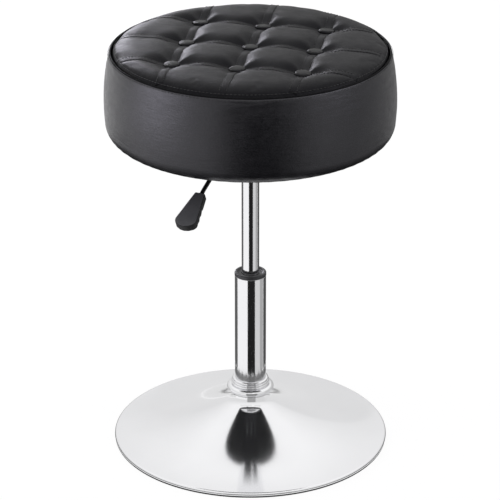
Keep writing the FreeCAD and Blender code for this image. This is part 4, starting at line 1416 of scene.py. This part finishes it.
@dataclass
class SewnStrips(TuftGrid):
    """The flat strips that are sewn down between the pillows, and their stitches."""

    side_line: tuple[Point, ...] = ((5.8, -0.4), (5.5, 0.45), (4.7, 0.5), (3.9, 0.75), (2.0, 0.85))
    rim_gap: float = 4.0
    end_run: float = 14.0
    end_share: float = 0.2
    bed: float = 0.3
    leather: float = 1.0
    stitch: float = 3.3
    stitch_pitch: float = 4.4
    stitch_row: float = 4.7
    stitch_lift: float = 0.62
    stitch_gap: float = 3.0

    def strip_place(self, offset: float, along: float, across: float, side: SewnSide) -> Vector:
        """Work out a place on a strip.

        Args:
            offset: The strip's distance from the seat's middle.
            along: The place along the strip.
            across: The place across the strip.
            side: The direction that the strip runs in.

        Returns:
            The place in the tuft grid, in metres.
        """
        height = self.strip_height(offset, along, side, across)
        plan = (offset + across, along) if side is SewnSide.ALONG else (along, offset + across)
        return Vector((plan[0], plan[1], height)) * MM

    def build(self) -> None:
        """Build the strips and their stitches."""
        left = [(-reach, lift) for reach, lift in self.side_line]
        section = left + [(0.0, self.side_line[-1][1])] + list(self.side_line[::-1])
        strips, stitches = bmesh.new(), []
        for side in SewnSide:
            for offset in self.line_places():
                end = math.sqrt(self.radius ** 2 - offset ** 2) - self.rim_gap
                self.add_strip(strips, section, offset, end, side)
                stitches += self.stitch_places(offset, end, side)
        made = piece("sewn_strips", self.placed(strips), TOP_LEATHER, SEAT_BODY, sharp=60.0)
        shell = made.modifiers.new("thickness", "SOLIDIFY")
        shell.thickness = self.leather * MM
        shell.offset = -1.0
        thread = self.placed(sewn_thread(stitches, self.stitch))
        piece("strip_stitches", thread, THREAD, SEAT_BODY, sharp=70.0)

    def add_strip(
            self, strips: Shape, section: Sequence[Point], offset: float, end: float, side: SewnSide) -> None:
        """Add one strip as a net that follows its line and its section.

        Args:
            strips: The shape that it is added to.
            section: The strip's section, as places across it and their lift.
            offset: The strip's distance from the seat's middle.
            end: The strip's reach to both sides.
            side: The direction that the strip runs in.
        """
        runs = round(2 * end / self.cell)
        wide = len(section) - 1
        made = bmesh.ops.create_grid(strips, x_segments=wide, y_segments=runs, size=1.0)
        for vert in made["verts"]:
            across, lift = section[round((vert.co.x + 1) / 2 * wide)]
            along = end * vert.co.y
            share = smooth_step((end - abs(along)) / self.end_run + self.end_share)
            vert.co = self.strip_place(offset, along, across, side)
            vert.co.z += (lift * share - self.bed) * MM
        if side is SewnSide.ACROSS:
            faces = {face for vert in made["verts"] for face in vert.link_faces}
            bmesh.ops.reverse_faces(strips, faces=list(faces))

    def stitch_places(self, offset: float, end: float, side: SewnSide) -> list[tuple[Vector, Vector]]:
        """Work out the two rows of stitches of one strip.

        Args:
            offset: The strip's distance from the seat's middle.
            end: The strip's reach to both sides.
            side: The direction that the strip runs in.

        Returns:
            The stitches' places and directions.
        """
        first = self.stitch_gap - end
        count = int(-2 * first / self.stitch_pitch)
        places = []
        for row in (-self.stitch_row, self.stitch_row):
            for index in range(count):
                along = first + self.stitch_pitch * (index + 0.5)
                if self.from_line(along) < self.button:
                    continue
                place = self.strip_place(offset, along, row, side)
                back, front = (self.strip_place(offset, along + step, row, side) for step in (-0.5, 0.5))
                place.z += self.stitch_lift * MM
                places.append((place, front - back))
        return places


@dataclass
class TuftButtons(TuftGrid):
    """The nine covered buttons."""

    line: tuple[Point, ...] = (
        (0.0, 5.9), (6.0, 5.7), (9.4, 5.3), (11.2, 4.4), (12.0, 3.0), (11.8, 1.2), (10.8, 0.2), (0.0, 0.0))
    fold: float = 0.5
    fold_drift: float = 3.0
    fold_start: float = 4.0
    fold_run: float = 5.0
    tilt: float = 0.05
    steps: int = 36

    def build(self) -> None:
        """Build the buttons as one piece."""
        buttons = bmesh.new()
        for row in (-1, 0, 1):
            for column in (-1, 0, 1):
                self.add_button(buttons, column, row)
        shape = self.placed(buttons)
        made = piece("tuft_covers", shape, BUTTON_LEATHER, SEAT_BODY, sharp=70.0)
        smooth = made.modifiers.new("smooth", "SUBSURF")
        smooth.levels = smooth.render_levels = 1
        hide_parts("tuft_buttons")

    def add_button(self, buttons: Shape, column: int, row: int) -> None:
        """Add one button, with the small folds of its cover at its edge and a slight tilt of its own.

        Args:
            buttons: The shape that it is added to.
            column: The button's column, from -1 to 1.
            row: The button's row, from -1 to 1.
        """
        shape = chain([(reach * MM, 0.0, height * MM) for reach, height in self.line], loop=False)
        closed(spun(shape, FULL_TURN, self.steps))
        for vert in shape.verts:
            reach = vert.co.to_2d().length / MM
            turn = math.atan2(vert.co.y, vert.co.x)
            fold = ring_noise(turn, self.fold_drift, COVER_SEEDS[0] * column + COVER_SEEDS[1] * row)
            vert.co.z += self.fold * fold * smooth_step((reach - self.fold_start) / self.fold_run) * MM
        tilt = Matrix.Rotation(self.tilt * column, 4, "Y") @ Matrix.Rotation(-self.tilt * row, 4, "X")
        place = Matrix.Translation((column * self.pitch * MM, row * self.pitch * MM, 0.0))
        bmesh.ops.transform(shape, matrix=place @ tilt, verts=shape.verts)
        join(buttons, shape)


@dataclass(frozen=True)
class Wrinkles:
    """A layer of wrinkles round the band. Sizes are in millimetres."""

    height: float
    scale: float
    run: float
    shift: float = 0.0

    def push(self, turn: float, height: float) -> float:
        """Return how far the layer pushes the leather out at a turn and a height."""
        return self.height * ring_noise(turn, self.scale, height / self.run, self.shift)


DRAG_LINES = (
    Wrinkles(height=0.4, scale=3.2, run=9.0), Wrinkles(height=0.25, scale=7.0, run=5.0, shift=9.0))
SIDE_LINES = (
    Wrinkles(height=0.4, scale=2.0, run=45.0), Wrinkles(height=0.13, scale=5.0, run=3.4, shift=3.0))


@dataclass
class SeatBand:
    """The leather band round the seat, its welt, and the leather turned under. Sizes are in millimetres."""

    bottom: float = 474.0
    welt_bottom: float = 596.5
    seam_radius: float = 195.0
    seam_lap: float = 1.9
    seam_tuck: float = 0.8
    seam_fold: tuple[Point, ...] = ((1.2, 0.5), (0.5, 0.55))
    welt: float = 2.6
    welt_height: float = 2.3
    welt_sink: float = 0.9
    welt_root: float = 1.5
    welt_draw: float = 0.3
    welt_wander: float = 0.25
    welt_drift: float = 9.0
    welt_ripple: float = 0.08
    welt_steps: int = 360
    widest: float = 205.2
    widest_height: float = 524.0
    corner_round: float = 23.0
    corner_radius: float = 204.0
    hem: float = 164.2
    leather: float = 1.6
    side_steps: int = 34
    corner_steps: int = 12
    under_steps: int = 6
    steps: int = 288
    drag_start: float = 540.0
    drag_run: float = 45.0
    drag_end: float = 596.0
    drag_fade: float = 6.0
    side_start: float = 478.0
    gather: float = 0.35
    gather_count: float = 64.0
    gather_wander: float = 6.0
    gather_drift: float = 3.0
    gather_top: float = 492.0
    gather_start: float = 168.0
    gather_run: float = 8.0
    corner_run: float = 14.0
    under_top: float = 476.2
    under_share: float = 0.35
    stitch: float = 4.2
    stitch_pitch: float = 5.4
    stitch_rows: tuple[Point, ...] = ((3.0, 594.9), (-5.2, 600.6))

    def skin(self, inset: float) -> list[Point]:
        """Work out the band's line at an inset.

        Args:
            inset: The inset from its face.

        Returns:
            The points from the seam down to the hem under the board.
        """
        top = self.seam_radius + self.seam_lap
        corner_height = self.bottom + self.corner_round
        side = arc_points(
            (top - inset, self.welt_bottom - self.seam_tuck), (self.widest - inset, self.widest_height),
            (self.corner_radius - inset, corner_height), self.side_steps)
        centre = self.corner_radius - self.corner_round
        reach = self.corner_round - inset
        turns = [-math.pi / 2 * step / self.corner_steps for step in range(1, self.corner_steps + 1)]
        corner = [(centre + reach * math.cos(turn), corner_height + reach * math.sin(turn)) for turn in turns]
        shares = [step / self.under_steps for step in range(1, self.under_steps + 1)]
        under = [(centre + (self.hem - centre) * share, self.bottom + inset) for share in shares]
        return side + corner + under

    def build(self) -> None:
        """Build the band, the welt and the seam's stitches."""
        outer = self.skin(0.0)
        edge, top = outer[0]
        fold = [(edge - back, top + lift) for back, lift in self.seam_fold]
        outline = outer + self.skin(self.leather)[::-1] + fold
        shape = turned(corners(outline), self.steps)
        self.wrinkle(shape)
        band = piece("seat_band", shape, SEAT_LEATHER, SEAT_BODY, sharp=50.0)
        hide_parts("side_band")
        self.build_welt()
        self.build_seam_stitches()

    def wrinkle(self, shape: Shape) -> None:
        """Push the band's face in and out: drag lines below the seam and gathers round the lower corner.

        Args:
            shape: The band, in metres.
        """
        for vert in shape.verts:
            reach = vert.co.to_2d().length / MM
            height = vert.co.z / MM
            turn = math.atan2(vert.co.y, vert.co.x)
            drag = sum(layer.push(turn, height) for layer in DRAG_LINES)
            soft = sum(layer.push(turn, height) for layer in SIDE_LINES)
            below_seam = smooth_step((height - self.drag_start) / self.drag_run)
            below_seam *= smooth_step((self.drag_end - height) / self.drag_fade)
            push = drag * below_seam + soft * smooth_step((height - self.side_start) / self.corner_run)
            drift = self.gather_wander * ring_noise(turn, self.gather_drift, GATHER_SEED)
            gather = self.gather * math.sin(turn * self.gather_count + drift)
            low = smooth_step((self.gather_top - height) / self.corner_run)
            push += gather * low * smooth_step((reach - self.gather_start) / self.gather_run)
            if height > self.under_top:
                vert.co += ring_way(turn) * push * MM
            else:
                vert.co.z += self.under_share * push * MM

    def build_welt(self) -> None:
        """Build the narrow raised strip that covers the seam, in a darker leather that stands in for the
        groove's shade.
        """
        inner, outer = self.seam_radius - self.welt / 2, self.seam_radius + self.welt / 2
        foot = self.welt_bottom - self.welt_sink
        root = foot - self.welt_root
        outline = arc_points((outer, foot), (self.seam_radius, foot + self.welt_height), (inner, foot), 12)
        outline += [(inner + self.welt_draw, root), (outer - self.welt_draw, root)]
        shape = turned(corners(outline), self.welt_steps)
        for vert in shape.verts:
            turn = math.atan2(vert.co.y, vert.co.x)
            wander = self.welt_wander * ring_noise(turn, self.welt_drift, WELT_SEED)
            ripple = self.welt_ripple * math.sin(turn * self.seam_radius / self.stitch_pitch * FULL_TURN)
            vert.co.z += (wander + ripple) * MM
            vert.co += ring_way(turn) * wander * MM
        welt = piece("seam_welt", shape, WELT_SHADED_LEATHER, SEAT_BODY, sharp=60.0)
        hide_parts("edge_welt")

    def build_seam_stitches(self) -> None:
        """Build the two rows of stitches beside the welt."""
        places = []
        for away, height in self.stitch_rows:
            reach = self.seam_radius + away
            count = round(FULL_TURN * reach / self.stitch_pitch)
            for index in range(count):
                way = ring_way(FULL_TURN * index / count)
                place = way * reach * MM + Vector((0.0, 0.0, height * MM))
                places.append((place, Vector((-way.y, way.x, 0.0))))
        piece("seam_stitches", sewn_thread(places, self.stitch), THREAD, SEAT_BODY, sharp=70.0)


@dataclass
class DustCover:
    """The thin cloth stapled under the seat. Sizes are in millimetres."""

    hem: float = 164.2
    hem_play: float = 0.2
    lap: float = 12.0
    ramp: float = 3.7
    plate: float = 112.0
    board: float = 475.6
    underside: float = 474.0
    cloth: float = 0.8
    staples: int = 28
    scallop: float = 1.6
    edge: float = 1.0
    sag: float = 0.6
    sag_wander: float = 0.5
    sag_drift: float = 5.0
    sag_staple: float = 0.35
    sag_scale: float = 0.9
    sag_start: float = 15.0
    sag_end: float = 10.0
    sag_gap: float = 4.0
    inner_steps: int = 6
    outer_steps: int = 8
    steps: int = 224

    def build(self) -> None:
        """Build the cover, drawn in a little between its staples."""
        rim = self.hem + self.lap
        slope = self.hem - self.ramp
        inner = [self.plate * step / self.inner_steps for step in range(self.inner_steps + 1)]
        rest = slope - self.plate
        outer = [self.plate + rest * step / self.outer_steps for step in range(1, self.outer_steps + 1)]
        flat = [(reach, self.board) for reach in inner + outer]
        reaches = (self.hem - self.hem_play, self.hem + self.lap / 2, rim)
        top = flat + [(reach, self.underside) for reach in reaches]
        outline = top + [(reach, height - self.cloth) for reach, height in top[::-1]]
        shape = turned(corners(outline), self.steps)
        for vert in shape.verts:
            reach = vert.co.to_2d().length / MM
            turn = math.atan2(vert.co.y, vert.co.x)
            staple = math.cos(turn * self.staples)
            if reach > rim - self.edge:
                vert.co -= ring_way(turn) * self.scallop * (1 - staple) / 2 * MM
            free = smooth_step((reach - self.plate) / self.sag_start)
            free *= smooth_step((self.hem - self.sag_gap - reach) / self.sag_end)
            wander = self.sag_wander * ring_noise(turn, self.sag_drift, SAG_SEED)
            droop = self.sag + wander + self.sag_staple * staple
            vert.co.z -= self.sag_scale * droop * free * MM
        cover = piece("dust_cloth", shape, DUST_CLOTH, SEAT_BODY, sharp=50.0)
        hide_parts("dust_cover")


@dataclass
class LeverLine:
    """The line that the lever follows. Sizes are in millimetres, with the lever pointing along -Y."""

    turn: float = -25.0
    height: float = 457.5
    bend_at: float = 116.0
    bend: float = 22.0
    knee_at: float = 150.0
    knee: float = 27.0
    grip_away: float = 10.5

    def swung(self, shape: Shape) -> Shape:
        """Turn a shape to the lever's direction."""
        bmesh.ops.transform(shape, matrix=Matrix.Rotation(math.radians(self.turn), 4, "Z"), verts=shape.verts)
        return shape


@dataclass
class LeverRod(LeverLine):
    """The bent rod, with the sleeve that turns on the pivot pin."""

    radius: float = 3.0
    inner: float = 6.0
    bend_round: float = 14.0
    grip_hole: float = 40.0
    pivot_reach: float = 38.0
    pivot_height: float = 463.9
    sleeve: float = 4.4
    sleeve_bore: float = 2.58
    sleeve_half: float = 19.2
    sleeve_steps: int = 32
    rod_sides: int = 24
    bend_steps: int = 6

    def build(self) -> None:
        """Build the rod and its sleeve as one piece."""
        shape = self.bent_rod()
        profile = [
            Corner(self.sleeve_bore, -self.sleeve_half), Corner(self.sleeve, -self.sleeve_half, 0.5),
            Corner(self.sleeve, self.sleeve_half, 0.5), Corner(self.sleeve_bore, self.sleeve_half)]
        sleeve = turned(profile, self.sleeve_steps)
        pivot = Matrix.Translation((0.0, -self.pivot_reach * MM, self.pivot_height * MM))
        lay = pivot @ Matrix.Rotation(math.pi / 2, 4, "Y")
        bmesh.ops.transform(sleeve, matrix=lay, verts=sleeve.verts)
        join(shape, sleeve)
        rod = piece("lever_bar", self.swung(shape), ROD_PAINT, LEVER_BODY)
        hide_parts("lever_rod")

    def bent_rod(self) -> Shape:
        """Run a circle out along the rod's line, with two bends.

        Returns:
            The closed rod, pointing along -Y.
        """
        shape = bmesh.new()
        place = Vector((0.0, self.inner, self.height))
        start = Matrix.Translation(place * MM) @ Matrix.Rotation(math.pi / 2, 4, "X")
        ring = bmesh.ops.create_circle(
            shape, cap_ends=True, segments=self.rod_sides, radius=self.radius * MM, matrix=start)["verts"]
        first, second = math.radians(self.bend), math.radians(self.knee - self.bend)
        trims = [self.bend_round * math.tan(turn / 2) for turn in (first, second)]
        slope = (self.knee_at - self.bend_at) / math.cos(first)
        last = self.grip_away + self.grip_hole - trims[1]
        runs = [self.inner + self.bend_at - trims[0], slope - sum(trims), last]
        heading = 0.0
        loop = list({edge for vert in ring for edge in vert.link_edges})
        for length, bend in zip(runs, (first, second, 0.0)):
            ahead = Vector((0.0, -math.cos(heading), -math.sin(heading)))
            made = bmesh.ops.extrude_edge_only(shape, edges=loop)["geom"]
            verts = points_of(made)
            bmesh.ops.translate(shape, verts=verts, vec=ahead * length * MM)
            place += ahead * length
            loop = [edge for edge in edges_of(made) if edge.is_boundary]
            if bend:
                centre = place + self.below(heading) * self.bend_round
                made = bmesh.ops.spin(
                    shape, geom=verts + loop, cent=centre * MM, axis=(1, 0, 0), angle=bend,
                    steps=self.bend_steps)
                loop = edges_of(made["geom_last"])
                heading += bend
                place = centre - self.below(heading) * self.bend_round
        bmesh.ops.holes_fill(shape, edges=loop)
        return closed(shape)

    def below(self, heading: float) -> Vector:
        """Return the direction to the inside of a bend, for a rod that slopes down by an angle."""
        return Vector((0.0, math.sin(heading), -math.cos(heading)))


@dataclass
class LeverGrip(LeverLine):
    """The moulded grip: a flared outline with a top face painted paler as lit and sides painted darker as
    shade, rounded edges and finger scallops below.
    """

    thick: float = 11.5
    axis_depth: float = 5.6
    narrow: float = 7.5
    wide: float = 16.5
    shoulder: float = 53.0
    length: float = 62.0
    end_steps: int = 6
    narrow_round: float = 2.0
    wide_round: float = 4.6
    edge_round: float = 1.9
    edge_steps: int = 5
    cut_start: float = 17.0
    cut_pitch: float = 1.5
    cuts: int = 26
    scallop: float = 1.8
    scallop_pitch: float = 11.0
    scallop_phase: float = 19.5
    scallop_start: float = 19.0
    scallop_end: float = 53.0
    scallop_fade: float = 3.0
    scallop_top: float = 4.0
    scallop_run: float = 6.0
    lit_top_normal: float = 0.75

    def build(self) -> None:
        """Build the grip at the rod's end."""
        shape = self.blank()
        self.add_scallops(shape)
        # Painted light and shade: faces that point up get the paler lit finish, the others the darker shaded
        # one.
        for face in shape.faces:
            face.normal_update()
            face.material_index = 0 if face.normal.z > self.lit_top_normal else 1
        knee = math.radians(self.knee)
        away = Vector((0.0, -self.grip_away * math.cos(knee), -self.grip_away * math.sin(knee)))
        drop = (self.knee_at - self.bend_at) * math.tan(math.radians(self.bend))
        corner = Vector((0.0, -self.knee_at, self.height - drop))
        lift = Matrix.Translation((0.0, 0.0, self.axis_depth * MM))
        place = Matrix.Translation((corner + away) * MM) @ Matrix.Rotation(knee, 4, "X") @ lift
        bmesh.ops.transform(shape, matrix=place, verts=shape.verts)
        swung = self.swung(shape)
        grip = piece("grip_moulding", swung, GRIP_LIT_TOP, LEVER_BODY, sharp=32.0)
        grip.data.materials.append(GRIP_SHADED_SIDE.material())
        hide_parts("lever_grip")

    def blank(self) -> Shape:
        """Make the grip without its scallops.

        Returns:
            The closed shape, with its top face at height 0.
        """
        right, left = (self.wide, -self.shoulder), (-self.wide, -self.shoulder)
        end = arc_points(right, (0.0, -self.length), left, self.end_steps)
        plan = [(-self.narrow, 0.0), (self.narrow, 0.0)] + end
        shape = bmesh.new()
        points = [shape.verts.new((x * MM, y * MM, 0.0)) for x, y in plan]
        shape.faces.new(points)
        rounded(shape, points[:2], self.narrow_round, "VERTICES", CORNER_STEPS)
        rounded(shape, [points[2], points[-1]], self.wide_round, "VERTICES", CORNER_STEPS)
        made = bmesh.ops.extrude_face_region(shape, geom=shape.faces[:])["geom"]
        bmesh.ops.translate(shape, verts=points_of(made), vec=(0.0, 0.0, -self.thick * MM))
        closed(shape)
        rims = [edge for edge in shape.edges if abs(edge.verts[0].co.z - edge.verts[1].co.z) < TINY]
        rounded(shape, rims, self.edge_round, "EDGES", self.edge_steps)
        return shape

    def add_scallops(self, shape: Shape) -> None:
        """Cut the grip across and press the scallops for the fingers into its underside.

        Args:
            shape: The grip, in metres.
        """
        for step in range(self.cuts):
            place = (0.0, -(self.cut_start + self.cut_pitch * step) * MM, 0.0)
            geometry = shape.verts[:] + shape.edges[:] + shape.faces[:]
            bmesh.ops.bisect_plane(shape, geom=geometry, dist=TINY, plane_co=place, plane_no=(0, 1, 0))
        for vert in shape.verts:
            reach, depth = -vert.co.y / MM, -vert.co.z / MM
            wave = (1 - math.cos((reach - self.scallop_phase) / self.scallop_pitch * FULL_TURN)) / 2
            inside = smooth_step((reach - self.scallop_start) / self.scallop_fade)
            inside *= smooth_step((self.scallop_end - reach) / self.scallop_fade)
            low = smooth_step((depth - self.scallop_top) / self.scallop_run)
            vert.co.z += self.scallop * wave * inside * low * MM


class Fittings:
    """The CAD nodes that stay as they are and only get their finishes."""

    def build(self) -> None:
        """Dress every node by its slot in the record."""
        for part in frame["record"]["subparts"]:
            node = frame["nodes"][part["node"]]
            node.data.materials.clear()
            node.data.materials.append(SLOT_FINISHES[part["material_slot"]].material())


def bare_material(name: str) -> tuple[bpy.types.Material, Bench]:
    """Make a material that has no shader yet.

    Args:
        name: The material's name.

    Returns:
        The material, and the bench for its nodes.
    """
    made = bpy.data.materials.new(name)
    made.use_nodes = True
    nodes = made.node_tree.nodes
    nodes.remove(nodes["Principled BSDF"])
    return made, Bench(made.node_tree)


@dataclass(frozen=True)
class Card:
    """A sector of the floor with a wall behind it, in degrees and metres, which only shows in reflections.

    Its shade is what the column mirrors, and the base and the seat may have shades of their own. A card may
    rise above the floor, and fade from its foot upwards.
    """

    name: str
    first: float
    last: float
    shade: float
    inner: float = 0.24
    outer: float = 4.6
    wall: float = 2.0
    base_shade: float | None = None
    seat_shade: float | None = None
    rise: float = 0.004
    fade: float = 0.0
    steps: int = 12

    def build(self) -> None:
        """Build the card from one bent line that is spun part of a turn."""
        turn = math.radians(self.first)
        out = Vector((math.sin(turn), -math.cos(turn), 0.0))
        places = ((self.inner, self.rise), (self.outer, self.rise), (self.outer, self.wall))
        line = chain([out * reach + Vector((0.0, 0.0, height)) for reach, height in places], loop=False)
        card = shown(self.name, spun(line, math.radians(self.last - self.first), self.steps))
        card.data.materials.append(self.paper())
        card.visible_camera = False
        card.visible_diffuse = False
        card.visible_shadow = False
        card.visible_transmission = False

    def paper(self) -> bpy.types.Material:
        """Make the card's glowing paper.

        Returns:
            The material.
        """
        paper, bench = bare_material(self.name)
        base_shade = self.shade if self.base_shade is None else self.base_shade
        seat_shade = self.shade if self.seat_shade is None else self.seat_shade
        shade = bench.sum(
            "ADD", bench.span(bench.ray_start(), *BASE_HEIGHTS, base_shade, self.shade),
            bench.span(bench.ray_start(), *SEAT_HEIGHTS, 0.0, seat_shade - self.shade))
        if self.fade:
            height = bench.depth(bench.add("NewGeometry").outputs["Position"])
            glow = bench.span(height, self.rise, self.rise + self.fade, seat_shade, 0.0)
            shade = bench.sum("MAXIMUM", shade, glow)
        # The stool's painted shadow dims the card in the leather's reflections.
        strength = bench.sum("MULTIPLY", shade, bench.painted_shadow_share())
        bench.surface(bench.add("Emission", None, Strength=strength).outputs[0])
        return paper


@dataclass(frozen=True)
class Lamp:
    """A soft square lamp that lights all but the chrome. Its place and its aim are in metres."""

    name: str
    place: Place
    aim: Place
    size: float
    power: float
    colour: Colour = (1.0, 0.985, 1.1)

    def build(self) -> None:
        """Build the lamp, and keep it out of the chrome's reflections."""
        light = bpy.data.lights.new(self.name, "AREA")
        light.size = self.size
        light.energy = self.power
        light.color = self.colour
        made = in_scene(self.name, light)
        made.location = self.place
        made.rotation_euler = (Vector(self.aim) - Vector(self.place)).to_track_quat("-Z", "Y").to_euler()
        lit = bpy.data.collections.new(self.name + "_lit")
        for part in bpy.context.scene.objects:
            if part.type == "MESH" and CHROME.material() not in part.data.materials[:]:
                lit.objects.link(part)
        made.light_linking.receiver_collection = lit


CARDS = (
    Card("front_card", -20.0, 33.0, 0.015, base_shade=0.4),
    Card("right_card", 33.0, 72.0, 0.68, base_shade=0.75),
    Card("far_right_card", 72.0, 104.0, 0.42, base_shade=0.75),
    Card("back_right_card", 107.0, 178.0, 0.08, outer=1.1, wall=0.005, base_shade=0.8),
    Card("back_left_card", -178.0, -106.0, 0.12, outer=1.1, wall=0.005, base_shade=0.8),
    Card("far_back_card", 104.0, 178.0, 0.45, inner=1.12, base_shade=0.8),
    *(
        Card(
            name, first, last, 0.02, inner=4.7, outer=4.8, wall=9.0, base_shade=0.9, seat_shade=0.9, rise=4.9,
            fade=2.4)
        for name, first, last in (("high_left_card", -75.0, 12.0), ("high_right_card", 28.0, 80.0))),
    # Painted shadow: a dark ring on the floor just round the base's rim, seen only in reflections.
    Card("rim_shadow_card", -180.0, 180.0, 0.15, inner=0.199, outer=0.24, wall=0.005),
)
LAMPS = (
    Lamp("left_softbox", (-2.4, -0.7, 0.55), (0.0, 0.0, 0.5), size=1.4, power=14.0),
    Lamp("back_left_softbox", (-0.95, 2.85, 1.2), (0.0, 0.0, 0.6), size=0.9, power=19.0),
    Lamp("right_softbox", (2.2, -0.8, 1.4), (0.0, 0.0, 0.5), size=0.8, power=6.0),
)


@dataclass
class Studio:
    """The camera, the white floor, the lamps and the cards. Places are in metres, and the image in pixels."""

    camera_place: Place = (0.0, -3.41106, 1.7862)
    pitch: float = 0.4123
    focal: float = 2594.34
    image: float = 500.0
    offset: float = 0.41
    sensor: float = 36.0
    floor_size: float = 12.0
    floor_tone: float = 0.9
    floor_glow: float = 1.1
    floor_share: float = 0.85
    sky_fill: float = 0.4
    sky_low: float = 0.42
    sky_high: float = 0.62
    sky_band: Point = (0.3, 0.75)

    def build(self) -> None:
        """Build everything round the object."""
        bpy.context.scene.view_settings.view_transform = "Standard"
        self.build_camera()
        self.build_floor()
        self.build_sky()
        for stand in (*CARDS, *LAMPS):
            stand.build()

    def build_camera(self) -> None:
        """Build the camera at the photograph's place."""
        lens = bpy.data.cameras.new("camera")
        lens.sensor_width = self.sensor
        lens.lens = self.focal / self.image * self.sensor
        lens.shift_x = -self.offset / self.image
        camera = in_scene("camera", lens)
        camera.location = self.camera_place
        camera.rotation_euler = (math.pi / 2 - self.pitch, 0.0, 0.0)
        bpy.context.scene.camera = camera

    def build_floor(self) -> None:
        """Build the white floor, which shows faint shadows and is clear from below."""
        shape = bmesh.new()
        bmesh.ops.create_grid(shape, x_segments=4, y_segments=4, size=self.floor_size / 2)
        floor = shown("floor", shape)
        paper, bench = bare_material("floor_paper")
        matt = bench.add("BsdfDiffuse", None, Color=(self.floor_tone, self.floor_tone, self.floor_tone, 1.0))
        # The glow carries the stool's painted shadow in the leather's reflections.
        glow = bench.sum("MULTIPLY", bench.painted_shadow_share(), self.floor_glow)
        white = bench.add("Emission", None, Strength=glow)
        path = bench.add("LightPath").outputs
        seen = bench.sum("MAXIMUM", path["Is Camera Ray"], path["Is Glossy Ray"])
        seen = bench.sum("MAXIMUM", seen, path["Is Transmission Ray"])
        top = bench.cover(bench.sum("MULTIPLY", seen, self.floor_share), matt.outputs[0], white.outputs[0])
        clear = bench.add("BsdfTransparent")
        back = bench.add("NewGeometry").outputs["Backfacing"]
        below = bench.sum("MULTIPLY", back, path["Is Camera Ray"])
        bench.surface(bench.cover(below, top, clear.outputs[0]))
        floor.data.materials.append(paper)

    def build_sky(self) -> None:
        """Build the white surroundings, which are dimmer as a light than as a background."""
        world = bpy.data.worlds.new("studio")
        bpy.context.scene.world = world
        world.use_nodes = True
        bench = Bench(world.node_tree)
        background = world.node_tree.nodes["Background"]
        background.inputs["Color"].default_value = (1.0, 1.0, 1.0, 1.0)
        path = bench.add("LightPath").outputs
        mirrored = bench.sum("MAXIMUM", path["Is Glossy Ray"], path["Is Transmission Ray"])
        up = bench.depth(bench.add("TexCoord").outputs["Generated"])
        bright = bench.span(up, *self.sky_band, self.sky_low, self.sky_high)
        unseen = bench.sum("MULTIPLY_ADD", mirrored, bright, self.sky_fill)
        bench.feed(background.inputs["Strength"], bench.sum("MAXIMUM", unseen, path["Is Camera Ray"]))


def main() -> None:
    """Build the stool piece by piece, then its studio."""
    logging.basicConfig(level=logging.INFO, format="%(name)s: %(message)s")
    makers = (
        Fittings(), TrumpetBase(), LiftColumn(), SeatBand(), QuiltedTop(), SewnStrips(), TuftButtons(),
        DustCover(), LeverRod(), LeverGrip(), Studio())
    for maker in makers:
        LOG.info("building %s", type(maker).__name__)
        maker.build()


if __name__ == "__main__":
    main()
